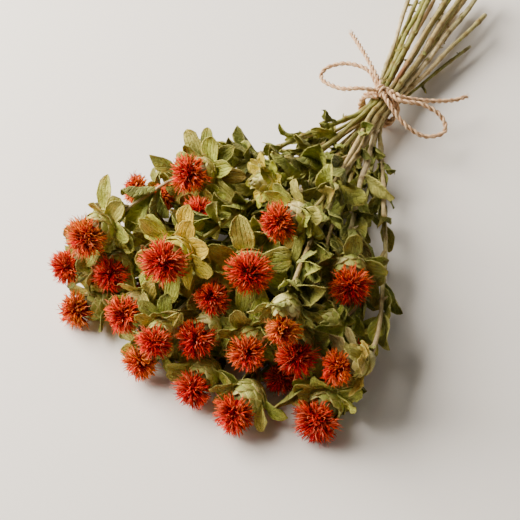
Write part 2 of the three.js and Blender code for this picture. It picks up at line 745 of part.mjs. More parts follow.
// A floret ball: each face of a round core is drawn out into a tuft of florets, and the back is cut flat.
function bloomSolid(head) {
  const detail = head.size < FINE_FROM_SIZE || HIDDEN.includes(head.number) ? 1 : 2;
  const bare = new THREE.OctahedronGeometry(1, detail).deleteAttribute("normal").deleteAttribute("uv");
  const round = mergeVertices(bare, 1e-4);
  const place = round.getAttribute("position");
  const corner = (n) => vector(0, 0, 0).fromBufferAttribute(place, n);
  const positions = [];
  const put = (direction, radius) => {
    const squash = (BALL_FLATTENED - 1) * direction.dot(head.facing);
    const flat = direction.clone().addScaledVector(head.facing, squash);
    positions.push(...head.centre.clone().addScaledVector(flat, radius).toArray());
  };
  for (let f = 0; f < round.index.count; f += 3) {
    const corners = [0, 1, 2].map((n) => corner(round.index.getX(f + n)));
    const middle = corners[0].clone().add(corners[1]).add(corners[2]).normalize();
    const isBack = middle.dot(head.facing) < -0.45;
    const sway = vector(...[1, 2, 3].map((axis) => drawBetween(-0.15, 0.15, f, head.number, axis)));
    const tuft = middle.clone().add(sway).normalize();
    const tuftRadius = head.radius * drawBetween(0.88, 1, f, head.number, 4);
    for (let n = 0; n < 3; n += 1) {
      if (isBack && n > 0) break;
      const [a, b] = [corners[n], corners[(n + 1) % 3]];
      put(a, head.radius * CORE_SHARE);
      put(b, head.radius * CORE_SHARE);
      if (isBack) put(corners[2], head.radius * CORE_SHARE);
      else put(tuft, tuftRadius);
    }
  }
  const back = head.mouth.dot(head.facing) + CLEARANCE;
  return solidFrom(positions).trimByPlane(head.facing.toArray(), back);
}

// A tube of even thickness along a smooth curve through the points.
function twineTube(points, steps) {
  const section = new THREE.Shape();
  for (let n = 0; n < TWINE_SIDES; n += 1) {
    const angle = (2 * Math.PI * n) / TWINE_SIDES;
    const place = [TWINE_RADIUS * Math.cos(angle), TWINE_RADIUS * Math.sin(angle)];
    if (n) section.lineTo(...place);
    else section.moveTo(...place);
  }
  const extrudePath = new THREE.CatmullRomCurve3(points, false, "centripetal");
  return solidOf(new THREE.ExtrudeGeometry(section, { steps, bevelEnabled: false, extrudePath }));
}

// The turns round the stems, as one ring with a ridge for each turn.
function wrapSolid() {
  const inner = RING_RADII[2] + TIE_RADIUS + CLEARANCE;
  const width = WRAP_TURNS * WRAP_PITCH;
  const outline = [new THREE.Vector2(inner, -width / 2)];
  for (let turn = 0; turn < WRAP_TURNS; turn += 1) {
    const middle = (turn + 0.5) * WRAP_PITCH - width / 2;
    outline.push(new THREE.Vector2(inner + 1.5, middle - WRAP_PITCH / 2));
    outline.push(new THREE.Vector2(inner + 2 * TWINE_RADIUS - 0.2, middle));
  }
  outline.push(new THREE.Vector2(inner + 1.5, width / 2), new THREE.Vector2(inner, width / 2));
  outline.push(outline[0].clone());
  const ring = new THREE.LatheGeometry(outline, 16);
  ring.translate(0, 0, TIE_HEIGHT);
  return solidOf(ring);
}

function knotSolid() {
  const lump = new THREE.IcosahedronGeometry(1, 1);
  lump.scale(5.2, 4.6, 3.6);
  lump.translate(...knotCentre.toArray());
  return solidOf(lump);
}

function geometryOf(solid) {
  const { vertProperties, triVerts } = solid.getMesh();
  const geometry = new THREE.BufferGeometry();
  geometry.setAttribute("position", new THREE.BufferAttribute(Float32Array.from(vertProperties), 3));
  geometry.setIndex(new THREE.BufferAttribute(Uint32Array.from(triVerts), 1));
  return geometry;
}

// The largest body of a solid, without the hollows that fusing sealed and without loose scraps.
function largestBody(solid) {
  return solid.decompose().sort((a, b) => b.volume() - a.volume())[0];
}

// Whether all corners of a solid lie apart, so that none merge when the solid is written out.
function cornersLieApart(solid) {
  const { vertProperties, numVert } = solid.getMesh();
  const corners = Array.from({ length: numVert }, (_, k) => vertProperties.subarray(3 * k, 3 * k + 3));
  corners.sort((a, b) => a[0] - b[0]);
  for (let i = 0; i < corners.length; i += 1)
    for (let j = i + 1; j < corners.length && corners[j][0] - corners[i][0] < FINEST_DETAIL; j += 1) {
      const gap = Math.hypot(...[0, 1, 2].map((axis) => corners[i][axis] - corners[j][axis]));
      if (gap < FINEST_DETAIL) return false;
    }
  return true;
}

// One closed body from several. They are moved by a hair and joined again until the corners lie apart.
function fused(solids) {
  for (let attempt = 0; attempt < MOST_ATTEMPTS; attempt += 1) {
    const hair = (k, axis) => (attempt && k ? drawBetween(-HAIR, HAIR, attempt, k, axis) : 0);
    const moved = solids.map((solid, k) => solid.translate([hair(k, 1), hair(k, 2), hair(k, 3)]));
    const whole = largestBody(wasm.Manifold.union(moved).trimByPlane([0, 0, 1], 0));
    if (cornersLieApart(whole)) return whole;
  }
  throw new Error("two corners of a piece still lie together");
}

// Materials

const ORANGE_FLORETS = ["#c8521c", "#b8401a", "#d06a22"];
const RED_FLORETS = "#93220f";
const RED_HEADS = [4, 8, 9, 10, 11, 19, 25];
const STEM_GREENS = ["#8d8a4a", "#7c7d3f", "#9a8f52"];
const JUTE = "#c3a588";

function material(color, roughness) {
  return new THREE.MeshStandardMaterial({ color, roughness, metalness: 0 });
}

const pieces = [];

function addPiece(name, solid, look) {
  pieces.push({ name, solid, look });
}

STEMS.forEach((stem, i) => {
  const own = lines.filter((line) => line.stem === i).map(stemSolid);
  const involucres = stem.heads.map((number) => involucreSolid(heads[number]));
  const ownLeaves = leaves.filter((leaf) => leaf.stem === i).map((leaf) => bladeSolid(leaf, LEAF_ROWS));
  const ownBracts = bracts.filter((bract) => bract.stem === i).map((bract) => bladeSolid(bract, BRACT_ROWS));
  const name = `stem_${String(i + 1).padStart(2, "0")}`;
  const whole = fused([...own, ...involucres, ...ownLeaves, ...ownBracts]);
  addPiece(name, whole, material(STEM_GREENS[i % 3], 0.85));
});
for (const head of Object.values(heads).filter(({ isBud }) => !isBud)) {
  const color = RED_HEADS.includes(head.number) ? RED_FLORETS : ORANGE_FLORETS[head.number % 3];
  const name = `bloom_${String(head.number).padStart(2, "0")}`;
  addPiece(name, fused([bloomSolid(head)]), material(color, 0.9));
}
const loops = loopLines.map((points) => twineTube(points, LOOP_STEPS));
const tails = tailLines.map((points) => twineTube(points, TAIL_STEPS));
addPiece("twine_bow", fused([wrapSolid(), knotSolid(), ...loops, ...tails]), material(JUTE, 0.95));

const group = new THREE.Group();
for (const { name, solid, look } of pieces) {
  const geometry = geometryOf(solid);
  geometry.computeVertexNormals();
  const mesh = new THREE.Mesh(geometry, look);
  mesh.name = name;
  group.add(mesh);
}
group.position.set(...TIE_AT);

export default group;
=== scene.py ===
import math
from itertools import islice, product
from types import SimpleNamespace

import bpy
import numpy as np
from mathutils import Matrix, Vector


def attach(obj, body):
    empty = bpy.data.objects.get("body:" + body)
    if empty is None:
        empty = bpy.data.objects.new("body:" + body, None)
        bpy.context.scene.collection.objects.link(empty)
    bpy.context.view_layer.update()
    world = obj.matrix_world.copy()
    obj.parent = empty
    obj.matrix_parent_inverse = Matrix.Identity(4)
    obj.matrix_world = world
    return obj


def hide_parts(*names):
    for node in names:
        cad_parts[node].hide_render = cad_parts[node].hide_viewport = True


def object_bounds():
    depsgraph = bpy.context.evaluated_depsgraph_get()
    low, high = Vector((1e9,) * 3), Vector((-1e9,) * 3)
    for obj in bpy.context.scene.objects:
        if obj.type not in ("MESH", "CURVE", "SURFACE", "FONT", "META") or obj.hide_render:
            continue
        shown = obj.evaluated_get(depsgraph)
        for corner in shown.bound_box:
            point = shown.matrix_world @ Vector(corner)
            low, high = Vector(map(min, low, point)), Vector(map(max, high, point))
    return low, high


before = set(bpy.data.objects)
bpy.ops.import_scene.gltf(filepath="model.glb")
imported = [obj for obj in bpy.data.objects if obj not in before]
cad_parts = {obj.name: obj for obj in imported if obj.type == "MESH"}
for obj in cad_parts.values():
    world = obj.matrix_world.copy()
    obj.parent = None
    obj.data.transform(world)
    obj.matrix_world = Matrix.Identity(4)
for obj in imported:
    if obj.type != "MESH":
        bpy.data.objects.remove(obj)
cad_box = [list(corner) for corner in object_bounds()]

MM = 0.001
TIE_AT = np.array([4.76, 48.35, 0.0])

# Driving dimensions of the stems, the tie, the heads and the twine, as in the CAD source
TIE_HEIGHT = 15.8
CUT_RADIUS = 2
TIE_RADIUS = 1.85
NECK_RADIUS = 1.3
RING_RADII = [0, 4.2, 8.5]
RING_PLACES = [1, 6, 14]
TIE_REACH = 15
CUT_END_Y = 134
CUT_END_VARIES = 26
CUT_SPREAD_X = 2.7
CUT_SPREAD_Z = 1.7
CUT_LEAN_X = -10
FULL_WIDTH = 24
INVOLUCRE_LENGTH = 18
INVOLUCRE_RADIUS = 9.3
MOUTH_RADIUS = 6.4
BALL_ABOVE_MOUTH = 6.4
BALL_FLATTENED = 0.88
TWINE_RADIUS = 1.5
WRAP_PITCH = 3
KNOT_Z = 31.4

# Flower heads: place of the floret ball's centre, the way it faces (turn from -y towards +x and lift above
# level, in degrees) and the ball's width.
HEADS = {
    1: (-55, -142, 51, -9, 36, 24), 2: (-91, -147, 24, -75, 20, 19), 3: (-69, -150, 31.5, -35, 10, 17),
    4: (-40, -157, 41, 10, 40, 19), 5: (-77, -212, 51, 1, 17, 25), 6: (-25, -213, 63, 0, 27, 26),
    7: (14, -160, 65, -26, 15, 22), 8: (16, -196, 61, 30, 37, 25), 9: (-87, -221, 30, -29, 12, 20),
    10: (-61.5, -214, 32, 10, 20, 21), 11: (2, -210, 47, 15, 16, 20), 12: (61, -167, 48, 30, 9, 24),
    13: (-76.5, -231.5, 9.5, -32, 14, 23), 14: (-42, -231, 27, -10, 15, 23), 15: (2, -227, 30, 1, 17, 22),
    16: (47, -215, 56, 20, -18, 19), 17: (31, -223, 33, 25, 10, 21), 18: (77, -211, 39, -39, 4, 20),
    19: (54, -213, 34, 20, 12, 22), 20: (-24, -244, 12, 5, 6, 21), 21: (-15, -240, 32, 15, 15, 19),
    22: (10, -244, 12, 3, 9, 22), 23: (37, -247, 13, -2, 6, 23), 24: (75.5, -227.5, 10.5, 5, 10, 26),
    25: (46, -214.5, 11, 20, 4, 18), 26: (-47, -202, 11, -20, 2, 20), 27: (0, -200, 11, -8, 2, 20),
    28: (72, -184, 12, 42, 2, 20), 30: (-14, -140, 62, -25, 20, 18), 31: (55.4, -187.8, 36.7, -40, 20, 17),
}
BUDS = [30, 31]
HIDDEN = [25, 26, 27, 28]

# Stems: ring, place under the twine, heads (the tip's first) and the point where a side head's branch leaves.
STEMS = [
    (2, 0, [18, 31], 6), (2, 1, [12], 0), (2, 2, [16], 0), (2, 3, [7, 30], 5), (2, 4, [6], 0),
    (2, 5, [1], 0), (2, 6, [5], 0), (2, 7, [2, 3], 6), (2, 8, [13, 9], 6), (2, 9, [14, 26], 6),
    (2, 10, [20, 21], 7), (2, 11, [22, 27], 6), (2, 12, [23, 25], 6), (2, 13, [24, 28], 6), (1, 0, [17], 0),
    (1, 1, [8], 0), (1, 2, [4], 0), (1, 3, [10], 0), (1, 4, [15], 0), (1, 5, [19], 0), (0, 0, [11], 0),
]
# Stems that are cut shorter, at these points
CUT_SHORTER = {0: (24, 124, 19), 6: (-30, 110, 22), 13: (25, 98, 9)}

# Large leaves that stand out of the bunch: the stem, where the tip is and the leaf's width.
OUTER_LEAVES = [
    (7, (-115, -163, 20), 11), (6, (-76, -108, 34), 12), (5, (-58, -94, 38), 11), (8, (-44, -54, 20), 13),
    (1, (50, -86, 34), 13), (0, (66, -118, 24), 12),
]

# Places beside the bunch that its leaves and bracts leave free, and how far.
OPEN_PLACES = [
    (75, -104, 37, 14), (88, -130, 31, 12), (112, -195, 32, 24), (102, -231, 5, 16), (104, -212, 16, 12),
    (4, -37, 52, 12), (-52, -250, 4, 12), (-97, -193, 72, 14), (-104, -204, 58, 13), (-108, -212, 43, 12),
    (-38, -84, 56, 12), (-50, -105, 70, 14),
]

# The bow's route, from the knot outwards.
LEFT_LOOP = [
    (-3, 2, KNOT_Z), (-16, 13, 32), (-33, 15, 29), (-44, 8, 25), (-42, -1, 23), (-26, -7, 27), (-12, -6, 32),
    (-3, -2, KNOT_Z),
]
RIGHT_LOOP = [
    (3, 2, KNOT_Z), (15, -4, 32), (29, 2, 30), (42, 3, 25), (48, -4, 20), (38, -12, 18), (24, -14, 24),
    (10, -9, 31), (3, -2, KNOT_Z),
]
LEFT_TAIL = [(-1, 3, KNOT_Z), (-11, 12, 34), (-27, 28, 33), (-45, 47, 28)]
RIGHT_TAIL = [(3, 3, KNOT_Z), (14, 2, 30), (27, 13, 24), (40, 26, 20), (47, 36, 19)]


def draw(a, b, c):
    """A repeatable draw between 0 and 1 for any three numbers."""
    wave = math.sin(a * 12.9898 + b * 78.233 + c * 37.719) * 43758.5453
    return wave - math.floor(wave)


def draw_between(low, high, a, b, c):
    return low + (high - low) * draw(a, b, c)


def drawn(seed, at, **ranges):
    """A draw for each of several measures. A range is the lowest, the highest and the draw's number."""
    return {name: draw_between(low, high, seed, at, c) for name, (low, high, c) in ranges.items()}


def vec(*numbers):
    return np.array(numbers, float)


def unit(v):
    return v / max(np.linalg.norm(v), 1e-12)


def lengths(rows):
    return np.linalg.norm(rows, axis=-1)


def place(points):
    return (np.asarray(points, float) + TIE_AT) * MM


# Heads, as in the CAD source


def head_of(number):
    x, y, z, turn, lift, width = HEADS[number]
    t, l = math.radians(turn), math.radians(lift)
    facing = vec(math.sin(t) * math.cos(l), -math.cos(t) * math.cos(l), math.sin(l))
    size = width / FULL_WIDTH
    centre = vec(x, y, z)
    mouth = centre - facing * BALL_ABOVE_MOUTH * size
    base = mouth - facing * INVOLUCRE_LENGTH * size
    return SimpleNamespace(
        number=number, facing=facing, size=size, centre=centre, mouth=mouth, base=base, radius=width / 2,
        is_bud=number in BUDS, stem=0,
    )


heads = {number: head_of(number) for number in HEADS}
for stem_index, (_, _, numbers, _) in enumerate(STEMS):
    for number in numbers:
        heads[number].stem = stem_index

balls = []
for head in heads.values():
    belly = head.base + head.facing * INVOLUCRE_LENGTH * head.size * 0.5
    balls.append((head, True, belly, INVOLUCRE_RADIUS * head.size + 0.4))
    if not head.is_bud:
        balls.append((head, False, head.centre, head.radius))
ball_heads, *ball_facts = zip(*balls)
ball_is_involucre, ball_centre, ball_radius = (np.array(facts) for facts in ball_facts)
ball_stem = np.array([head.stem for head in ball_heads])

# Stem lines, as in the CAD source

LINE_STEPS = 8
BRANCH_STEPS = 4
FRONT_POINT = 2
FORK_SHARE = 0.45
ARRIVE_SHARE = 0.7
LONGEST_PUSH = 3
STEM_SPACING = 4.6
BALL_SPACING = 2.4
ROUNDS = 90
SMOOTH_ROUNDS = 70
SMOOTHING = 0.15
FAR_APART = 60


def hermite(a, leave, b, arrive, t):
    t2, t3 = t * t, t * t * t
    return a * (2 * t3 - 3 * t2 + 1) + leave * (t3 - 2 * t2 + t) + b * (3 * t2 - 2 * t3) + arrive * (t3 - t2)


def line_to(head, points, leave, steps, **more):
    """A line through some points that leaves the last of them in a direction and arrives at a head's base."""
    start = points[-1]
    arrive = head.facing * np.linalg.norm(start - head.base) * ARRIVE_SHARE
    points += [hermite(start, leave, head.base, arrive, k / steps) for k in range(1, steps)]
    return SimpleNamespace(stem=head.stem, head=head, points=np.array(points + [head.base]), **more)


def trunk_line(index):
    ring, at, numbers, _ = STEMS[index]
    angle = 2 * math.pi * (at + (0.25 if ring == 1 else 0)) / RING_PLACES[ring]
    sx, sz = RING_RADII[ring] * math.cos(angle), RING_RADII[ring] * math.sin(angle)
    head = heads[numbers[0]]
    cut_y = CUT_END_Y + CUT_END_VARIES * draw(index, 1, 7)
    cut_z = max(CUT_RADIUS - 0.5, TIE_HEIGHT + sz * CUT_SPREAD_Z)
    cut_x = sx * CUT_SPREAD_X + 6 * draw(index, 2, 7) - 3 + CUT_LEAN_X
    cut = vec(*CUT_SHORTER.get(index, (cut_x, cut_y, cut_z)))
    back, front = vec(sx, TIE_REACH, TIE_HEIGHT + sz), vec(sx, -TIE_REACH, TIE_HEIGHT + sz)
    leave = vec(sx * 3, -np.linalg.norm(front - head.base), sz * 2)
    return line_to(head, [cut, back, front], leave, LINE_STEPS, trunk=None, fork=0, first=FRONT_POINT)


def fork_point(trunk, fork):
    return trunk.points[fork] * (1 - FORK_SHARE) + trunk.points[fork + 1] * FORK_SHARE


def branch_line(index, trunk):
    _, _, numbers, fork = STEMS[index]
    head = heads[numbers[1]]
    start = fork_point(trunk, fork)
    leave = unit(start - trunk.points[fork]) * np.linalg.norm(start - head.base)
    return line_to(head, [start], leave, BRANCH_STEPS, trunk=trunk, fork=fork, first=0)


def nearest_shares(p1, q1, p2, q2):
    """How far along each of two segments their nearest points lie, for arrays of segments."""
    d1, d2, r = q1 - p1, q2 - p2, p1 - p2
    a, e, f = (d1 * d1).sum(1), (d2 * d2).sum(1), (d2 * r).sum(1)
    c, b = (d1 * r).sum(1), (d1 * d2).sum(1)
    s = np.clip((b * f - c * e) / np.maximum(a * e - b * b, 1e-9), 0, 1)
    t = (b * s + f) / e
    s = np.where(t < 0, np.clip(-c / a, 0, 1), np.where(t > 1, np.clip((b - c) / a, 0, 1), s))
    return s, np.clip(t, 0, 1)


def widened(gap, room):
    """The push along each gap that widens it to the room it needs."""
    length = lengths(gap)
    return gap * (np.maximum(room - length, 0) / np.maximum(length, 1e-9))[:, None]


def push_lines_apart(lines):
    """Points move apart where their lines lie too close to another line or a head."""
    starts = np.cumsum([0] + [len(line.points) for line in lines])
    segments = [(i, m) for i, line in enumerate(lines) for m in range(line.first, len(line.points) - 1)]
    pairs = [
        (starts[i] + m, starts[j] + n)
        for i, m in segments
        for j, n in segments
        if i < j and not (lines[i].stem == lines[j].stem and n < 1 and abs(m - lines[j].fork) < 1.6)
    ]
    hits = [
        (starts[i] + m, k)
        for (i, m), (k, head) in product(segments, enumerate(ball_heads))
        if head is not lines[i].head
    ]
    first, second = np.array(pairs).T
    on_line, on_ball = np.array(hits).T
    spots = [(line, k) for line in lines for k in range(len(line.points))]
    free = np.flatnonzero([line.first < k < len(line.points) - 1 for line, k in spots])
    for turn in range(ROUNDS):
        at = np.concatenate([line.points for line in lines])
        pushes = np.zeros_like(at)

        def share(k, part, push):
            np.add.at(pushes, k, push * (1 - part)[:, None])
            np.add.at(pushes, k + 1, push * part[:, None])

        near = np.abs(at[first, 1] - at[second, 1]) <= FAR_APART
        a, b = first[near], second[near]
        s, t = nearest_shares(at[a], at[a + 1], at[b], at[b + 1])
        gap = at[a] + (at[a + 1] - at[a]) * s[:, None] - at[b] - (at[b + 1] - at[b]) * t[:, None]
        push = widened(gap, STEM_SPACING) * 0.5
        share(a, s, push)
        share(b, t, -push)
        along = at[on_line + 1] - at[on_line]
        to_ball = ball_centre[on_ball] - at[on_line]
        s = np.clip((to_ball * along).sum(1) / (along * along).sum(1), 0, 1)
        share(on_line, s, widened(along * s[:, None] - to_ball, ball_radius[on_ball] + BALL_SPACING))
        if turn < SMOOTH_ROUNDS:
            pushes[free] += ((at[free - 1] + at[free + 1]) * 0.5 - at[free]) * SMOOTHING
        length = lengths(pushes)
        pushes *= (np.minimum(length, LONGEST_PUSH) / np.maximum(length, 1e-12))[:, None]
        at[free] += pushes[free]
        at[free, 2] = np.maximum(at[free, 2], TIE_RADIUS + 1)
        for line, start in zip(lines, starts):
            line.points = at[start : start + len(line.points)]
            if line.trunk:
                line.points[0] = fork_point(line.trunk, line.fork)
    return lines


trunks = [trunk_line(index) for index in range(len(STEMS))]
branches = [branch_line(index, trunks[index]) for index, stem in enumerate(STEMS) if len(stem[2]) > 1]
lines = push_lines_apart(trunks + branches)

# Blades, as in the CAD source: leaves and bracts, each arched, folded and waved

GRID_STEP = 2.5
STEM_CLEAR = 3.1
OWN_STEM_CLEAR = 2.7
ROOT_REACH = 8
FORK_REACH = 5
BALL_CLEAR = 1.6
BLADE_CLEAR = 2.5
SISTER_CLEAR = 2.2
FLOOR_CLEAR = 1.1
WRAP_CLEAR = 36
ROOT_POINTS = 4
BEND_KEEP = 0.38
LEAVES_PER_STEM = 6
LEAVES_PER_INNER_STEM = 3
LEAVES_PER_BRANCH = 2
BRACTS_PER_HEAD = 5
BRACTS_PER_HIDDEN_HEAD = 3
BUD_BRACT_SIZE = 0.6


def width_share(t):
    """Half the blade's width, as a share of its widest, at a share of its length."""
    return (1 - t) ** 0.7 * (0.35 + 3 * t * (1 - 0.3 * t))


def turned(start, towards, angle):
    return start * np.cos(angle) + towards * np.sin(angle)


def blade_at(blade, t):
    """The blade's middle, sideways direction and upper side at shares t of its length, one row each."""
    t = np.asarray(t, float)[..., None]
    angle = blade.bend * t
    forward = np.sin(angle) / blade.bend if blade.bend else t
    upward = (1 - np.cos(angle)) / blade.bend if blade.bend else 0 * t
    middle = blade.root + blade.along * blade.length * forward + blade.upper * blade.length * upward
    along = turned(blade.along, blade.upper, angle)
    flat_upper = turned(blade.upper, blade.along, -angle)
    flat_side = np.cross(along, flat_upper)
    turn = blade.twist * t
    return middle, turned(flat_side, flat_upper, turn), turned(flat_upper, flat_side, -turn)


def blade_point(blade, t, across):
    """Points of the blade: t along it, and from -1 to 1 across it."""
    middle, side, upper = blade_at(blade, t)
    half = 0.5 * blade.width * width_share(np.asarray(t, float))
    wave = blade.wave * np.sin(9 * np.asarray(t) + blade.phase) * across
    rise = half * np.abs(across) * math.sin(blade.fold) + wave
    return middle + side * (half * across * math.cos(blade.fold))[..., None] + upper * rise[..., None]


def middle_of(blade):
    return blade_point(blade, np.array([0.5]), np.array([0.0]))[0]


def grid_of(blade):
    rows = math.ceil(blade.length / GRID_STEP)
    shares, across = [], []
    for k in range(rows + 1):
        columns = max(1, math.ceil(blade.width * width_share(k / rows) / GRID_STEP))
        shares += [k / rows] * (columns + 1)
        across += [2 * n / columns - 1 for n in range(columns + 1)]
    return blade_point(blade, np.array(shares), np.array(across))


BOW = [LEFT_LOOP, RIGHT_LOOP, LEFT_TAIL, RIGHT_TAIL]
obstacles = [(line.stem, a, b) for line in lines for a, b in zip(line.points, line.points[1:])]
obstacles += [(-1, vec(*a), vec(*b)) for route in BOW for a, b in zip(route, route[1:])]
obstacle_stem, obstacle_start, obstacle_end = (np.array(facts) for facts in zip(*obstacles))
obstacle_run = obstacle_end - obstacle_start
obstacle_square = (obstacle_run**2).sum(1)
fork_points = np.array([line.points[0] for line in branches])
open_centre, open_reach = np.split(np.array(OPEN_PLACES, float), [3], axis=1)
MOST_BLADES = 4000
grown = []
grown_middle, grown_reach = np.zeros((MOST_BLADES, 3)), np.zeros(MOST_BLADES)
BOX_SPARE = 0.5
box_low, box_high = np.array(cad_box) / MM - TIE_AT


def distances_to_obstacles(points, which):
    to = points[:, None, :] - obstacle_start[which]
    s = np.clip((to * obstacle_run[which]).sum(2) / obstacle_square[which], 0, 1)
    return lengths(to - obstacle_run[which] * s[..., None])


def is_clear(blade, ease=1.0):
    """Whether a blade keeps clear of all that has grown. It is then added to that. ease shrinks the gaps."""
    grid = grid_of(blade)
    if (
        (ease < 1 and ((grid < box_low - BOX_SPARE) | (grid > box_high + BOX_SPARE)).any())
        or (grid[:, 2] < FLOOR_CLEAR).any()
        or (lengths(grid - vec(0, 0, TIE_HEIGHT)) < WRAP_CLEAR).any()
        or (lengths(grid[:, None] - open_centre) < open_reach[:, 0]).any()
        or (lengths(fork_points - blade.root) < FORK_REACH * ease).any()
    ):
        return False
    middle = middle_of(blade)
    reach = lengths(grid - middle).max()
    clear = ball_radius + BALL_CLEAR * ease
    near = ~(ball_is_involucre & (ball_stem == blade.stem)) & (lengths(ball_centre - middle) < reach + clear)
    if (lengths(grid[:, None] - ball_centre[near]) < clear[near]).any():
        return False
    near = distances_to_obstacles(middle[None], slice(None))[0] <= reach + STEM_CLEAR * ease
    own = np.flatnonzero(near & (obstacle_stem == blade.stem))
    theirs = np.flatnonzero(near & (obstacle_stem != blade.stem))
    if (distances_to_obstacles(grid, theirs) < STEM_CLEAR * ease).any():
        return False
    beyond = grid[lengths(grid - blade.root) > ROOT_REACH]
    if (distances_to_obstacles(beyond, own) < OWN_STEM_CLEAR * ease).any():
        return False
    count = len(grown)
    far = grown_reach[:count] + reach + BLADE_CLEAR
    for k in np.flatnonzero(lengths(grown_middle[:count] - middle) < far):
        other, other_grid = grown[k]
        clear = (SISTER_CLEAR if other.stem == blade.stem else BLADE_CLEAR) * ease
        gaps = grid[ROOT_POINTS:, None] - other_grid[None, ROOT_POINTS:]
        if ((gaps**2).sum(2) < clear**2).any():
            return False
    grown.append((blade, grid))
    grown_middle[count], grown_reach[count] = middle, reach
    return True


def place_on(line, share):
    """A point of a line and its direction there, off the line's bends, at a share of its free length."""
    points = line.points[line.first :]
    steps = lengths(points[1:] - points[:-1])
    rest = share * steps.sum()
    k = 0
    while k < len(steps) - 1 and rest > steps[k]:
        rest -= steps[k]
        k += 1
    on_stretch = min(max(rest / steps[k], BEND_KEEP), 1 - BEND_KEEP)
    return points[k] * (1 - on_stretch) + points[k + 1] * on_stretch, unit(points[k + 1] - points[k])


def square_to(along, outward, angle):
    first = unit(outward - along * outward.dot(along))
    return first * math.cos(angle) + np.cross(along, first) * math.sin(angle)


def blade_from(stem, root, along, out, spread, **shape):
    """A blade that leaves root at an angle from along, towards the direction out."""
    direction = along * math.cos(spread) + out * math.sin(spread)
    upper = along * math.sin(spread) - out * math.cos(spread)
    shape = {"twist": 0, "bend": 0, **shape}
    return SimpleNamespace(stem=stem, root=root, along=direction, upper=upper, **shape)


def reaching_leaf(stem, tip, width, phase):
    """A leaf from the stem to a given tip."""
    best = None
    share = 0.05
    while share < 0.95:
        point, along = place_on(trunks[stem], share)
        to_tip = vec(*tip) - point
        length = np.linalg.norm(to_tip)
        cost = abs(length - 30) + 40 * max(0, 0.4 - to_tip.dot(along) / length)
        if best is None or cost < best[0]:
            best = (cost, point, along, to_tip, length)
        share += 0.05
    _, point, along, to_tip, length = best
    out = square_to(along, to_tip, 0)
    spread = math.acos(to_tip.dot(along) / length)
    sized = {"width": width, "length": length}
    return blade_from(stem, point, along, out, spread, fold=0.45, wave=0.8, phase=phase, **sized)


def bract_tries(head, at, count):
    """Bracts stand round the involucre of their head and lean away from the florets."""
    seed = head.number
    size = BUD_BRACT_SIZE if head.is_bud else max(head.size, 0.75)
    angle = 2 * math.pi * (at + 0.4 * draw(seed, at, 1)) / count + 5 * draw(seed, 0, 2)
    up = square_to(head.facing, vec(0, 0, 1), 0)
    level = 0.4 if at % 2 else 0.6
    spread = math.radians(draw_between(52, 72, seed, at, 3))
    length = draw_between(13, 19, seed, at, 4) * size
    shape = drawn(seed, at, width=(9, 12.5, 5), bend=(-0.7, 0.5, 6), fold=(0.2, 0.6, 7), phase=(0, 6, 8))
    shape["width"] *= size
    for shorter, lean, shift in product((1, 0.78), (0, 0.35, -0.25, 0.7), (0, 0.3, -0.3, 0.6, -0.6)):
        out = square_to(head.facing, up, angle + shift)
        root = head.base + head.facing * INVOLUCRE_LENGTH * head.size * level
        root = root + out * INVOLUCRE_RADIUS * head.size * 0.55
        full = length * shorter + INVOLUCRE_RADIUS * head.size * 0.45
        yield blade_from(head.stem, root, head.facing, out, spread + lean, length=full, wave=0.5, **shape)


def leaf_tries(line, at, count, seed):
    """Leaves stand out of the stem on the side away from the middle of the bunch, where there is room."""
    share = (at + 0.3 + 0.5 * draw(seed, at, 1)) / count
    spots = [place_on(line, share + slide) for slide in (0, 0.06)]
    length = draw_between(21, 32, seed, at, 2) * min(max(abs(spots[0][0][1]) / 90, 0.62), 1)
    width = length * draw_between(0.42, 0.56, seed, at, 3)
    shape = drawn(seed, at, bend=(-0.6, 0.8, 4), fold=(0.25, 0.8, 5), twist=(-0.7, 0.7, 6), phase=(0, 6, 7))
    angle = 2.4 * (draw(seed, at, 8) - 0.5)
    spread = draw_between(0.45, 0.95, seed, at, 9)
    shifts = (0, 0.6, -0.6, 1.2, -1.2, 1.8, -1.8, 2.5, -2.5)
    for (point, along), shorter, lean, shift in product(spots, (1, 0.75), (0, -0.25, 0.4), shifts):
        outward = point - vec(0, point[1], TIE_HEIGHT + 0.08 * abs(point[1]))
        out = square_to(along, outward, angle + shift)
        sized = {"length": length * shorter, "width": width * shorter}
        yield blade_from(line.stem, point, along, out, spread + lean, wave=0.9, **sized, **shape)


def grow(tries_of_each, ease=1.0):
    """The blades that grow: of each one's tries the first that is clear of all that has grown so far."""
    firsts = (next((blade for blade in tries if is_clear(blade, ease)), None) for tries in tries_of_each)
    return [blade for blade in firsts if blade]


leaves = grow([reaching_leaf(*table, phase)] for phase, table in enumerate(OUTER_LEAVES))
bracts = []
for head in heads.values():
    count = BRACTS_PER_HIDDEN_HEAD if head.number in HIDDEN else BRACTS_PER_HEAD
    bracts += grow(bract_tries(head, at, count) for at in range(count))
for line in lines:
    count = LEAVES_PER_STEM if STEMS[line.stem][0] == 2 else LEAVES_PER_INNER_STEM
    count = LEAVES_PER_BRANCH if line.trunk else count
    leaves += grow(leaf_tries(line, at, count, 40 + line.head.number) for at in range(count))

# Finer blades that the CAD model leaves out: smaller leaves and bracts between the large ones, set closer

EXTRA_BRACTS = 9
EXTRA_BRACT_EASE = 0.3
# Rounds of small leaves: how many on a stem and on a branch, the seed, the size and how far the gaps shrink
EXTRA_LEAVES = [(12, 5, 140, 0.78, 0.45), (16, 6, 240, 0.95, 0.12)]
# Up to this share of its length a stem is bare, but for leaves that lie low in the bunch
BARE_SHARE = 0.62
LOW_IN_BUNCH = 20
# A stem with the first round alone
BARE_STEM = 0
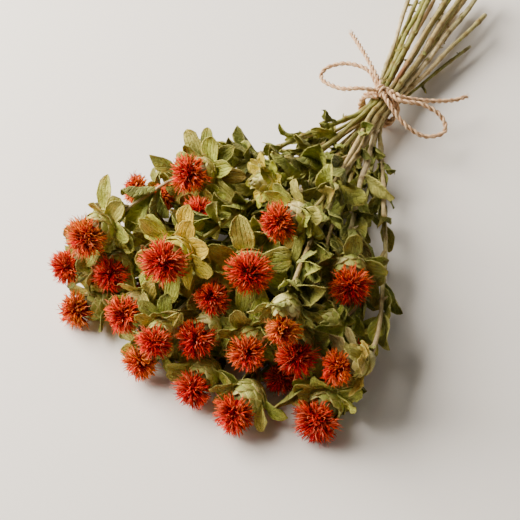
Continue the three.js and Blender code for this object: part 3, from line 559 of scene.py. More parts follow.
# Places where only the large leaves stand, so that a head or a stem behind them shows, and how far
THIN_PLACES = [(-82, -158, 40, 15), (-92, -150, 28, 13), (-66, -164, 48, 11), (-75, -150, 50, 14)]
REMNANTS_PER_STEM = 2
REMNANT_EASE = 0.3
LOW_LEAF_EASE = 0.1
# Leaves that close gaps low in the bunch: the stem, where the tip is and the leaf's width
LOW_LEAVES = [
    (7, (-78, -172, 13), 14), (7, (-86, -164, 10), 12), (8, (-80, -178, 17), 13), (8, (-72, -184, 14), 13),
    (17, (-76, -184, 22), 13), (17, (-62, -203, 12), 14), (8, (-84, -175, 14), 14), (17, (-83, -176, 30), 12),
    (13, (58, -232, 24), 13), (8, (-62, -200, 10), 12), (8, (-90, -168, 20), 12), (7, (-95, -168, 22), 12),
    (7, (-64, -158, 10), 13), (13, (52, -236, 18), 12),
]
# Heads whose globes show: the upper side has only its large bracts
OPEN_GLOBES = [8, 12, 13, 15, 16, 22, 23]
UPPER_SIDE = unit(vec(0.25, -0.5, 0.83))
GLOBE_REACH = 11

globe_places = [(*(heads[n].base + heads[n].facing * 6 + UPPER_SIDE * 12), GLOBE_REACH) for n in OPEN_GLOBES]
thin_centre, thin_reach = np.split(np.array(THIN_PLACES + globe_places), [3], axis=1)


def small_bract_tries(head, at):
    """Tries for a small bract. The upper side of a globe that shows is left free."""
    for blade in bract_tries(head, at + 0.5, EXTRA_BRACTS):
        out = blade.root - head.base
        out = unit(out - head.facing * out.dot(head.facing))
        if head.number not in OPEN_GLOBES or out.dot(UPPER_SIDE) < 0.1:
            yield blade


def small_leaf_tries(line, at, count, seed, size):
    """Every second try for a leaf, made smaller. Near the tie only those low in the bunch are left."""
    is_bare = not line.trunk and at < BARE_SHARE * count
    for blade in islice(leaf_tries(line, at, count, seed + line.head.number), 0, None, 2):
        blade.length *= size
        blade.width *= size
        middle = middle_of(blade)
        is_thin = (lengths(thin_centre - middle) < thin_reach[:, 0]).any()
        if not is_thin and (not is_bare or middle[2] < LOW_IN_BUNCH):
            yield blade


def remnant_tries(line, at):
    """Tries for the remains of a leaf on the stem behind the tie."""
    stem = line.stem
    cut, back = line.points[:2]
    share = (at + 0.2 + 0.6 * draw(stem, at, 31)) / REMNANTS_PER_STEM
    point, along = cut * (1 - share) + back * share, unit(back - cut)
    outward = point - vec(0, point[1], TIE_HEIGHT)
    shape = drawn(stem, at, length=(4, 9, 32), bend=(-1.2, 1.2, 33), fold=(0.5, 1.0, 34), phase=(0, 6, 36))
    shape |= drawn(stem, at, twist=(-1.5, 1.5, 35))
    spread = draw_between(0.15, 0.7, stem, at, 38)
    for shift in (0, 0.9, -0.9, 1.8, -1.8):
        out = square_to(along, outward, 2 * draw(stem, at, 37) - 1 + shift)
        yield blade_from(stem, point, along, out, spread, width=0.4 * shape["length"], wave=0.4, **shape)


small_bracts = []
for head in heads.values():
    small_bracts += grow((small_bract_tries(head, at) for at in range(EXTRA_BRACTS)), EXTRA_BRACT_EASE)
small_leaves = grow(([reaching_leaf(*table, phase)] for phase, table in enumerate(LOW_LEAVES)), LOW_LEAF_EASE)
for turn, (per_stem, per_branch, seed, size, ease) in enumerate(EXTRA_LEAVES):
    for line in lines:
        if line.stem != BARE_STEM or turn == 0:
            count = per_branch if line.trunk else per_stem
            small_leaves += grow((small_leaf_tries(line, at, count, seed, size) for at in range(count)), ease)
for line in trunks:
    small_leaves += grow((remnant_tries(line, at) for at in range(REMNANTS_PER_STEM)), REMNANT_EASE)


# Colours


def colour(code):
    """The linear red, green and blue of a code such as "#c8521c"."""
    shares = np.array([int(code[k : k + 2], 16) / 255 for k in (1, 3, 5)])
    return np.where(shares <= 0.04045, shares / 12.92, ((shares + 0.055) / 1.055) ** 2.4)


def tones(*codes):
    return [colour(code) for code in codes]


LEAF_TONES = tones("#7a832e", "#90973a", "#5e6a20", "#9fa74a", "#848630", "#aca856", "#6c7424")
OLIVE_TONES = tones("#868c3c", "#787c2a", "#989e44", "#82862e")
BRACT_TONES = tones("#9aa23c", "#b0b24c", "#868c30", "#bcb454", "#929836")
GOLDEN_TONES = tones("#c4ae26", "#c4a222", "#acae30", "#ccba38")
PAPER_TONES = tones("#baa55a", "#a59648", "#968f3e", "#ccba78")
SCALE_TONES = tones("#bebc62", "#a6a84e", "#d6ce80", "#9aa048")
CREAM_TONES = tones("#d2c876", "#b8b65a", "#e0d28c", "#a6aa52")
SAND_TONES = tones("#c6b470", "#b0a65c", "#d0bc80", "#a29a50")
DRY_TONES = tones("#b08828", "#8e661e", "#c4a240", "#664414")
STEM_TONES = tones("#b89e68", "#9a9250", "#ccb27e", "#ac8c5e", "#dcc492")
RIB_TONE = colour("#bdb964")
EDGE_TONE = colour("#cdc26c")
PITH_TONE = colour("#cbbd8f")
GOLDEN_PATCH = colour("#ab9a3c")
BROWN_SPOT = colour("#5f4219")
FLORET_DEEP = colour("#ba000e")
FLORET_RED = colour("#ea031e")
FLORET_ORANGE = colour("#fc5c20")
FLORET_YELLOW = colour("#ffa42c")
FLORET_PALE = colour("#fa9c6c")
JUTE_TONES = tones("#d8ac80", "#ac7c54", "#efd0a8")
BRACTS_OF_HEAD = {6: GOLDEN_TONES, 16: OLIVE_TONES, 18: PAPER_TONES, 30: GOLDEN_TONES, 12: OLIVE_TONES}
SCALES_OF_HEAD = {
    6: GOLDEN_TONES, 16: CREAM_TONES, 18: PAPER_TONES, 7: SAND_TONES, 30: CREAM_TONES, 12: CREAM_TONES,
    15: CREAM_TONES, 1: SAND_TONES, 14: SAND_TONES,
}
RED_SHARES = {
    1: 0.4, 4: 0.85, 6: 0.8, 7: 0.3, 8: 0.7, 9: 0.6, 10: 1.0, 11: 0.7, 12: 0.7, 14: 0.55, 15: 0.8, 18: 0.5,
    19: 0.95, 21: 0.85, 22: 0.85, 23: 0.65, 24: 0.85, 25: 0.9,
}
ORANGE_SHARES = {2: 0.6, 3: 0.6, 5: 0.75, 7: 0.4, 12: 0.5, 13: 0.8, 16: 1.1, 17: 0.35, 18: 0.6, 20: 0.9}


def mix(a, b, share):
    share = np.asarray(share, float)[..., None]
    return a * (1 - share) + b * share


# Geometry


def normed(v):
    return v / np.maximum(np.linalg.norm(v, axis=-1, keepdims=True), 1e-9)


def run_of(paths):
    """How far along each path its points lie."""
    return np.cumsum(lengths(np.diff(paths, axis=-2, prepend=paths[..., :1, :])), axis=-1)


def across_of(along):
    """A direction square to each of several directions."""
    return normed(np.cross(along, np.where(np.abs(along[..., 2:3]) > 0.9, [1.0, 0, 0], [0, 0, 1.0])))


def grid_faces(rows, columns, closed=False):
    """Quads between the rows of a grid of points. closed joins the last column to the first."""
    r, c = np.meshgrid(np.arange(rows - 1), np.arange(columns if closed else columns - 1), indexing="ij")
    here, there = (r * columns + c).ravel(), (r * columns + (c + 1) % columns).ravel()
    return np.stack([here, there, there + columns, here + columns], 1)


class Sheaf:
    """Gathers one piece's faces. tint is a colour at each point, lay is where the point lies on its form."""

    def __init__(self):
        self.points, self.tints, self.lays, self.faces, self.slots = [], [], [], [], []
        self.count = 0

    def add(self, points, faces, slot, tint, lay):
        for values, kept in ((points, self.points), (tint, self.tints), (lay, self.lays)):
            kept.append(np.broadcast_to(values, points.shape).reshape(-1, 3))
        for group in faces:
            self.faces += (group + self.count).tolist()
            self.slots += [slot] * len(group)
        self.count += points.size // 3

    def add_tubes(self, paths, radii, sides, slot, tint, twist=0.0):
        """Closed tubes along paths, which are (tubes, rings, 3). radii fits (tubes, rings, sides)."""
        count, rings, _ = paths.shape
        along = normed(np.gradient(paths, axis=1))
        radii = np.broadcast_to(radii, (count, rings, sides))
        side = across_of(along[:, 0])
        angles = 2 * math.pi * np.arange(sides) / sides
        points = np.empty((count, rings, sides, 3))
        for k in range(rings):
            side = normed(side - along[:, k] * (side * along[:, k]).sum(-1, keepdims=True))
            third = np.cross(along[:, k], side)
            ring = turned(side[:, None], third[:, None], (angles + twist * k)[:, None])
            points[:, k] = paths[:, k, None] + ring * radii[:, k, :, None]
        starts = np.arange(count)[:, None, None] * rings * sides
        quads = (grid_faces(rings, sides, closed=True)[None] + starts).reshape(-1, 4)
        caps = np.stack([np.arange(sides)[::-1], np.arange(sides) + (rings - 1) * sides])
        caps = (caps[None] + starts).reshape(-1, sides)
        lay = np.empty(points.shape)
        lay[..., 0] = np.arange(sides) / sides
        lay[..., 1] = run_of(paths)[..., None]
        lay[..., 2] = (np.arange(count) / count)[:, None, None]
        self.add(points, [quads, caps], slot, tint, lay)

    def add_sheet(self, grid, thickness, slot, tint, lay):
        """A closed thin body round a grid of points. Thickness may differ at each point."""
        rows, columns, _ = grid.shape
        normal = normed(np.cross(np.gradient(grid, axis=1), np.gradient(grid, axis=0)))
        half = normal * (np.broadcast_to(thickness, (rows, columns))[..., None] / 2)
        top = grid_faces(rows, columns)
        size = rows * columns
        index = np.arange(size).reshape(rows, columns)
        edge = np.concatenate([index[0, :-1], index[:-1, -1], index[-1, :0:-1], index[:0:-1, 0]])
        after = np.roll(edge, -1)
        rim = np.stack([after, after + size, edge + size, edge], 1)
        self.add(np.stack([grid + half, grid - half]), [top[:, ::-1], top + size, rim], slot, tint, lay)

    def piece(self, name, looks, slot_name, replaced):
        mesh = bpy.data.meshes.new(name)
        points = place(np.concatenate(self.points))
        points[:, 2] = np.maximum(points[:, 2], 0)
        mesh.from_pydata(points.tolist(), [], self.faces, False)
        mesh.polygons.foreach_set("material_index", self.slots)
        for look in looks:
            mesh.materials.append(look)
        for title, values in (("tint", self.tints), ("lay", self.lays)):
            layer = mesh.attributes.new(title, "FLOAT_COLOR", "POINT")
            layer.data.foreach_set("color", np.insert(np.concatenate(values), 3, 1, axis=1).ravel())
        piece = bpy.data.objects.new(name, mesh)
        bpy.context.scene.collection.objects.link(piece)
        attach(piece, "root")
        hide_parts(replaced)


def smooth_path(points, step):
    """A Catmull-Rom curve through the points, with a ring about every step."""
    points = np.asarray(points, float)
    ends = np.vstack([2 * points[0] - points[1], points, 2 * points[-1] - points[-2]])
    out = []
    for p0, p1, p2, p3 in zip(ends, ends[1:], ends[2:], ends[3:]):
        count = max(2, round(np.linalg.norm(p2 - p1) / step))
        t = (np.arange(count) / count)[:, None]
        bent = (2 * p0 - 5 * p1 + 4 * p2 - p3) * t**2
        out.append(0.5 * (2 * p1 + (p2 - p0) * t + bent + (3 * p1 - p0 - 3 * p2 + p3) * t**3))
    return np.vstack(out + [points[-1:]])


# Slots of the dressed stems' materials, and the slot of a piece with one material
LEAF, STEM, SCALE = 0, 1, 2
ONLY_LOOK = 0
THREAD_SIDES = 3
LEAF_SHARES = np.array([0, 0.1, 0.22, 0.36, 0.5, 0.64, 0.77, 0.88, 0.95, 0.99])
SMALL_LEAF_SHARES = np.array([0, 0.14, 0.32, 0.5, 0.68, 0.83, 0.94, 0.99])
LEAF_COLUMNS = np.array([-1, -0.87, -0.5, -0.09, 0.09, 0.5, 0.87, 1])
LEAF_THICKNESS = 0.26
MIDRIB_THICKNESS = 0.7
WHOLLY_DRY = 0.06


def outline_share(t, blunt):
    """Half the width of a finely shaped blade, whose tip is rounded and ends in a small point."""
    body = np.clip(1 - np.abs(2 * t - 1.06) ** 2.4, 0, 1) ** blunt
    return body * (0.28 + 0.72 * np.clip(t / 0.24, 0, 1)) * (1 - 0.75 * np.clip((t - 0.93) / 0.06, 0, 1))


def add_blade(sheaf, blade, rng, tones, crumple, is_bract, is_small):
    """A leaf or bract on the CAD blade's form, with a midrib, a crinkled surface and a curled edge."""
    t = SMALL_LEAF_SHARES if is_small else LEAF_SHARES
    share, across = np.meshgrid(t, LEAF_COLUMNS, indexing="ij")
    phases = rng.uniform(0, 6.3, 9)
    side = np.sign(across)
    notch = np.sin(share * rng.uniform(6, 11) + phases[6] + side * phases[7])
    uneven = 1 + (0.09 * notch + 0.05 * np.sin(share * 21 + phases[8] + side)) * np.abs(across)
    half = 0.5 * blade.width * outline_share(share, rng.uniform(0.55, 0.85 if is_bract else 1.15)) * uneven
    middle, sideways, upper = (part.reshape(*share.shape, 3) for part in blade_at(blade, share.ravel()))
    body = np.sin(math.pi * np.clip(share, 0, 1)) ** 0.5
    wave = blade.wave * np.sin(9 * share + blade.phase) * across
    crinkle = (
        0.6 * np.sin(share * 10 + across * 2.1 + phases[0]) * np.sin(across * 3.3 + phases[1])
        + 0.4 * np.sin(share * 19 + phases[2] + across) * np.sin(across * 6 + phases[3])
        + 0.7 * np.abs(across) ** 1.5 * np.sin(share * 13 + phases[4] + side * phases[5])
    )
    most = 0.12 if is_bract else 0.24
    curls = rng.uniform(-0.1, most, 2) * blade.width
    curl = np.abs(across) ** 2.4 * np.where(side > 0, *curls)
    fold = blade.fold * (0.6 if is_bract else 1)
    hook = np.clip(share - 0.55, 0, 1) ** 2 * rng.uniform(-9, 12)
    rise = half * np.abs(across) * math.sin(fold) + wave + (crinkle * crumple + curl) * body + hook * crumple
    grid = middle + sideways * (half * across * math.cos(fold))[..., None] + upper * rise[..., None]
    rib = np.exp(-((across / 0.12) ** 2)) * (1 - 0.8 * share)
    tone = tones[rng.integers(len(tones))] * rng.uniform(0.74, 1.55)
    # Painted shade: a small leaf is darker the lower it lies in the bunch, where less light reaches.
    if is_small and not is_bract:
        tone = tone * (0.62 + 0.4 * np.clip(middle[..., 2:].mean() / 38, 0, 1)) * rng.uniform(0.85, 1.15)
    dry = DRY_TONES[rng.integers(len(DRY_TONES))]
    if rng.random() < WHOLLY_DRY:
        tone = mix(tone, dry, 0.7)
    patch = 0.5 + 0.5 * np.sin(share * rng.uniform(3, 7) + phases[5]) * np.cos(across * 2 + phases[0])
    dryness = np.clip(patch**4 * rng.uniform(0, 0.9) + 0.3 * share**6, 0, 0.8)
    tint = mix(mix(tone, dry, dryness), RIB_TONE, 0.4 * rib)
    pale = 0.45 * np.abs(across) ** 12 + (0.35 if is_bract else 0.1) * np.clip(0.3 - share, 0, 1) / 0.3
    tint = mix(tint, EDGE_TONE, np.clip(pale, 0, 0.7))
    tint = np.stack([tint, tint * 0.9 + 0.01])
    kind = np.full(share.shape, 0.75 if is_bract else 0.25)
    lay = np.stack([across * 0.5 + 0.5, share * blade.length * 0.1, kind], -1)
    thickness = LEAF_THICKNESS + (MIDRIB_THICKNESS - LEAF_THICKNESS) * rib
    sheaf.add_sheet(grid, thickness, LEAF, tint, lay)


RIBS = 6
STEM_SIDES = 12
STEM_STEP = 3.2
NODE_SPACING = 17
NODE_SWELL = 0.26
STUB_LENGTH = 3.4
STUB_RADII = [0.95, 0.75, 0.6, 0.25]
STUB_SIDES = 5
REDDISH_STEM = 3
REDDISH_TONE = colour("#94502e")


def add_stem(sheaf, line, rng):
    """A ribbed stem with small knots and the stubs of lost leaves, cut off plainly at its lower end."""
    end = line.points[-1] + line.head.facing * 2
    path = smooth_path(np.vstack([line.points[:-1], end]), STEM_STEP)
    run = run_of(path)
    share = run / run[-1]
    sway = np.sin(run[:, None] * rng.uniform(0.06, 0.11, 3) + rng.uniform(0, 6, 3)) * rng.uniform(0.3, 0.8)
    path = path + sway * (np.clip(np.abs(path[:, 1:2]) / 40, 0, 1) * np.sin(math.pi * share[:, None]) ** 0.5)
    radius = NECK_RADIUS + 0.2 * (1 - share)
    if not line.trunk:
        tie_ends = [run[np.argmin(np.abs(path[:, 1] - y))] for y in (TIE_REACH, -TIE_REACH)]
        radius = np.interp(run, [0, *tie_ends, run[-1]], [CUT_RADIUS, TIE_RADIUS, TIE_RADIUS, NECK_RADIUS])
    shift = rng.uniform(0, NODE_SPACING)
    knot = np.exp(-(((run + shift) % NODE_SPACING - NODE_SPACING / 2) / 1.5) ** 2)
    sides = np.arange(STEM_SIDES) * 2 * math.pi / STEM_SIDES
    rib = 0.08 * np.cos(RIBS * sides)[None] + 0.05 * np.sin(run[:, None] * 0.7 + sides[None] * 2)
    slim = rng.uniform(0.58, 0.92) * (1 + 0.08 * np.sin(run * 0.11 + rng.uniform(0, 6)))
    radii = (radius * slim)[:, None] * (1 + rib + NODE_SWELL * knot[:, None])
    tone = STEM_TONES[rng.integers(len(STEM_TONES))] * rng.uniform(0.85, 1.1)
    streak = 0.5 + 0.5 * np.sin(run * 0.05 + rng.uniform(0, 6))
    tint = mix(mix(tone, LEAF_TONES[0], 0.45 * (1 - streak)), DRY_TONES[1] * 0.7, 0.75 * knot)
    if line.stem == REDDISH_STEM and not line.trunk:
        tint = mix(tint, REDDISH_TONE, 0.85 * np.exp(-(((path[:, 1] - 29) / 10) ** 2)))
    tint = tint[:, None] * (1 + 0.14 * np.cos(RIBS * sides))[None, :, None]
    if not line.trunk:
        tint[0] = PITH_TONE
    sheaf.add_tubes(path[None], radii, STEM_SIDES, STEM, tint)
    at = np.flatnonzero((knot > 0.8) & (np.roll(knot, 1) <= knot) & (np.roll(knot, -1) < knot))
    at = at[(at > 2) & (at < len(path) - 3) & (np.abs(path[at, 1]) > 9)]
    if len(at):
        along = normed(path[at + 1] - path[at - 1])
        out = normed(np.cross(along, normed(rng.normal(0, 1, (len(at), 3)))))
        s = np.linspace(0, 1, 4)[None, :, None]
        reach = rng.uniform(0.5, 1.3, (len(at), 1, 1)) * STUB_LENGTH
        stubs = path[at][:, None] + (out[:, None] * (0.25 + 0.75 * s) - along[:, None] * 0.5 * s**2) * reach
        sheaf.add_tubes(stubs, np.c_[STUB_RADII], STUB_SIDES, STEM, tone * 0.8)


INVOLUCRE_PROFILE = [(0, 2.4), (0.12, 5.6), (0.3, 8.2), (0.5, 9.25), (0.7, 9.1), (0.88, 7.8), (1, 6.4)]
BUD_PROFILE = INVOLUCRE_PROFILE[:-1] + [(1, 6.2), (1.25, 3.6), (1.5, 1.2)]
SCALE_RINGS = [(0.0, 5, 0.44), (0.15, 6, 0.46), (0.31, 7, 0.46), (0.47, 7, 0.44), (0.63, 8, 0.4)]
BUD_RINGS = [(0.82, 6, 0.44), (1.0, 5, 0.48)]
SCALE_ROWS = 7
SCALE_COLUMNS = 7
SCALE_THICKNESS = 0.4
GLOBE_RINGS = 12
GLOBE_SIDES = 16


def add_involucre(sheaf, head, rng):
    """The globe under the florets: rings of overlapping scales with pale, free tips, over a dark body
    that is painted shade in the gaps between the scales.
    """
    shares, widths = np.array(BUD_PROFILE if head.is_bud else INVOLUCRE_PROFILE).T
    up = square_to(head.facing, vec(0, 0, 1), 0)
    third = np.cross(head.facing, up)
    tones = SCALES_OF_HEAD.get(head.number, SCALE_TONES)

    def at(share, angle, lift):
        radius = (np.interp(share, shares, widths) * 0.9 + lift) * head.size
        run = head.facing * (share * INVOLUCRE_LENGTH * head.size)[..., None]
        return head.base + run + turned(up, third, angle[..., None]) * radius[..., None]

    angles = np.linspace(0, 2 * math.pi, GLOBE_SIDES, endpoint=False)
    share, angle = np.meshgrid(np.linspace(0, shares[-1], GLOBE_RINGS), angles, indexing="ij")
    end = np.arange(GLOBE_SIDES)[None]
    caps = [end[:, ::-1], end + (GLOBE_RINGS - 1) * GLOBE_SIDES]
    faces = [grid_faces(GLOBE_RINGS, GLOBE_SIDES, closed=True), *caps]
    # The body's colour is painted shade: a third of the scales' tone, seen only through the gaps between them.
    sheaf.add(at(share, angle, -0.3), faces, SCALE, tones[0] * 0.35, (0.5, 0.5, 0))
    v, w = np.meshgrid(np.linspace(0, 1, SCALE_ROWS), np.linspace(-1, 1, SCALE_COLUMNS), indexing="ij")
    for ring, (start, count, long) in enumerate(SCALE_RINGS + (BUD_RINGS if head.is_bud else [])):
        for n in range(count):
            middle = 2 * math.pi * (n + 0.5 * (ring % 2) + 0.18 * rng.uniform(-1, 1)) / count
            width = math.pi / count * 1.4 * np.sin(math.pi * (0.25 + 0.72 * v) ** 1.2) ** 0.6
            flare = rng.uniform(0.0, 1.2)
            lift = 0.05 + 1.5 * v**1.2 * (1 - 0.45 * w**2) + flare * v**4 + 0.1 * np.sin(w * 5 + v * 4 + n)
            reach = start + long * v * rng.uniform(0.9, 1.08) * (1 - 0.12 * w**2 * v)
            grid = at(reach, middle + w * width, lift)
            tone = tones[rng.integers(len(tones))] * rng.uniform(0.85, 1.15)
            # Painted shade: each scale darkens towards its base, which lies under the free tips of the ring
            # before.
            tint = mix(tone * 0.35, tone, np.clip(v * 2.4 - 0.2, 0, 1))
            tint = mix(tint, LEAF_TONES[3], 0.5 * (1 - np.abs(w)) * np.clip(v * 1.6, 0, 1) * (1 - v**3))
            tint = mix(tint, EDGE_TONE, np.clip(np.abs(w) ** 3 * v + 0.4 * v**5, 0, 0.85))
            tint = mix(tint, DRY_TONES[1], np.clip(v**10 * rng.uniform(0, 0.9), 0, 0.7))
            lay = np.stack([w * 0.5 + 0.5, v * 0.9, np.full(v.shape, rng.random())], -1)
            sheaf.add_sheet(grid, SCALE_THICKNESS * head.size, SCALE, tint, lay)


FLORETS = 92
LOBES = 5
LOBE_RINGS = 5
FLORET_RADIUS = 0.345
BACK_OF_BALL = -0.42
GOLDEN_ANGLE = 2.399963
STRAY_SHARE = 0.08
STRAY_REACH = 1.18
PALE_SHARE = 0.17
SCATTER = 0.17
STALK_RADII = [0.38, 0.5, 0.42]
FLORET_BRIGHTNESS = [0.4, 0.64, 0.9, 1.15]


def add_florets(sheaf, head, rng):
    """A ball of thread-like florets. Each is a thin tube that splits into narrow lobes with curled tips."""
    size, facing = head.size, head.facing
    count = round(FLORETS * (0.55 + 0.45 * size))
    k = np.arange(count) + 0.5
    rise = 1 - (1 - BACK_OF_BALL) * k / count
    turn = k * GOLDEN_ANGLE + rng.uniform(0, 6)
    up = square_to(facing, vec(0, 0, 1), 0)
    flat = np.sqrt(1 - rise**2)
    spoke = turned(up, np.cross(facing, up), turn[:, None])
    way = normed(facing * rise[:, None] + spoke * flat[:, None] + rng.normal(0, SCATTER, (count, 3)))
    squash = way + facing * ((BALL_FLATTENED - 1) * (way @ facing))[:, None]
    start = head.mouth + facing * 0.6 * size + spoke * (MOUTH_RADIUS * 0.72 * size * flat)[:, None]
    throat = head.centre + squash * head.radius * 0.4
    bend = start * 0.5 + throat * 0.5 + facing * (0.12 * head.radius)
    s = np.linspace(0, 1, 3)[None, :, None]
    tube = start[:, None] * (1 - s) ** 2 + 2 * bend[:, None] * s * (1 - s) + throat[:, None] * s**2
    sheaf.add_tubes(tube, np.c_[STALK_RADII], THREAD_SIDES, ONLY_LOOK, FLORET_DEEP * 0.75)

    way, throat = np.repeat(way, LOBES, 0), np.repeat(throat, LOBES, 0)
    total = count * LOBES
    stray = normed(rng.normal(0, 1, (total, 3)))
    stray = normed(stray - way * (stray * way).sum(1, keepdims=True))
    is_stray = rng.random((total, 1)) < STRAY_SHARE
    long = np.repeat(rng.uniform(0.8, 1.1, (count, 1)), LOBES, 0) * rng.uniform(0.94, 1.06, (total, 1))
    lump = 1 + 0.045 * np.sin(way @ rng.normal(0, 2.4, (3, 3)) + rng.uniform(0, 6, 3)).sum(1, keepdims=True)
    reach = head.radius * lump * np.where(is_stray, STRAY_REACH, long)
    aim = normed(way + stray * rng.uniform(0.05, 0.38, (total, 1)))
    tip = head.centre + (aim + facing * ((BALL_FLATTENED - 1) * (aim @ facing))[:, None]) * reach
    curl = normed(rng.normal(0, 1, (total, 3))) * (rng.uniform(0.04, 0.17, (total, 1)) * head.radius)
    share = np.linspace(0, 1, LOBE_RINGS)
    s = share[None, :, None]
    path = throat[:, None] * (1 - s) + tip[:, None] * s + curl[:, None] * np.sin(math.pi * s * 0.9)
    path = path + np.cross(aim, curl)[:, None] * 0.7 * np.clip(s - 0.6, 0, 1) ** 2 * 4
    fat = np.interp(share, [0, 0.25, 0.8, 1], [0.8, 1.0, 0.8, 0.2])
    radii = FLORET_RADIUS * np.where(is_stray, 0.6, rng.uniform(0.8, 1.2, (total, 1))) * fat
    red = RED_SHARES.get(head.number, 0.2)
    orange = ORANGE_SHARES.get(head.number, 0.35) * rng.uniform(0.4, 1.6, (total, 1))
    off_centre = 1 - np.clip((aim @ facing)[:, None], 0, 1) ** 1.5
    warm = share**2 * (1.4 - 1.1 * red) * (0.15 + off_centre) + 0.4 * orange * share
    tint = mix(FLORET_DEEP * 0.7, FLORET_DEEP, np.clip(share * 2.6, 0, 1))
    tint = mix(tint, FLORET_RED, np.clip((share - 0.2) * 2.0, 0, 1))
    tint = mix(tint, FLORET_ORANGE, np.clip(warm * 1.9 * rng.beta(0.8, 0.9, (total, 1)), 0, 1))
    golden = orange * share**1.5 * off_centre * (1 - 0.8 * red) * 1.1
    tint = mix(tint, FLORET_YELLOW, np.clip(golden, 0, 0.8))
    pale = np.where(is_stray, 0.55, np.where(rng.random((total, 1)) < PALE_SHARE, 0.45, 0.0))
    tint = mix(tint, FLORET_PALE, pale * np.clip(share * 1.5, 0, 1))
    tint = tint * rng.choice(FLORET_BRIGHTNESS, (total, 1, 1))
    sheaf.add_tubes(path, radii[..., None], THREAD_SIDES, ONLY_LOOK, tint[:, :, None])


# Twine

PLY_RADIUS = 0.84
PLY_OFFSET = 0.76
PLY_PITCH = 9.0
TWINE_STEP = 0.75
FIBRES_PER_MM = 0.55
STRANDS = 9
EXTRA_FIBRES = 12
END_FIBRES = 26
FIBRE_RADII = [0.09, 0.085, 0.07, 0.03]
PLY_TWIST = 0.35


def add_twine(sheaf, route, rng, frayed=False):
    """Two plies twisted round each other along the route, with loose fibres. Returns the route's length."""
    path = smooth_path(route, TWINE_STEP)
    along = normed(np.gradient(path, axis=0))
    run = run_of(path)
    side = across_of(along[:1])[0]
    sides = []
    for direction in along:
        side = unit(side - direction * side.dot(direction))
        sides.append(side)
    side = np.array(sides)
    third = np.cross(along, side)
    phase = rng.uniform(0, 6.3)
    open_end = 0.2 * np.clip(run - run[-1] + 8, 0, 8) / 8 if frayed else 0
    thin = np.interp(run, [run[-1] - 7, run[-1]], [1, 0.8 if frayed else 1])
    groove = 1 + 0.07 * np.cos(np.arange(STRANDS) * 2 * math.pi / STRANDS * 3)
    for ply in range(2):
        turn = (run / PLY_PITCH * 2 * math.pi + ply * math.pi + phase)[:, None]
        spread = PLY_OFFSET * (1 + 0.08 * np.sin(run * 0.9 + ply * 2)) * (1 + open_end)
        strand = path + turned(side, third, turn) * spread[:, None]
        tone = JUTE_TONES[ply] * rng.uniform(0.95, 1.05)
        fleck = 0.5 + 0.5 * np.sin(run * 1.7 + ply) * np.sin(run * 0.37)
        tint = mix(tone, JUTE_TONES[2], 0.6 * fleck)[:, None]
        radii = PLY_RADIUS * thin[:, None] * groove
        sheaf.add_tubes(strand[None], radii, STRANDS, ONLY_LOOK, tint, PLY_TWIST)
    count = int(run[-1] * FIBRES_PER_MM) + (EXTRA_FIBRES if frayed else 0)
    at = rng.integers(0, len(path), count)
    if frayed:
        at[-END_FIBRES:] = len(path) - 1 - rng.integers(0, 3, END_FIBRES)
    out = normed(side[at] * rng.normal(0, 1, (count, 1)) + third[at] * rng.normal(0, 1, (count, 1)))
    root = path[at] + out * (TWINE_RADIUS * 0.7)
    length = rng.uniform(1.2, 3.4, (count, 1))
    lean = along[at] * rng.choice([-1, 1], (count, 1)) * rng.uniform(0.6, 1.8, (count, 1))
    if frayed:
        lean[-END_FIBRES:] = along[at[-END_FIBRES:]] * 3.2
    aim = normed(out + lean) * length
    bow = normed(rng.normal(0, 1, (count, 3))) * length * 0.25
    s = np.linspace(0, 1, 4)[None, :, None]
    fibres = root[:, None] + aim[:, None] * s + bow[:, None] * np.sin(math.pi * s)
    sheaf.add_tubes(fibres, np.c_[FIBRE_RADII], THREAD_SIDES, ONLY_LOOK, JUTE_TONES[2] * 1.05)
    return run[-1]


# Materials


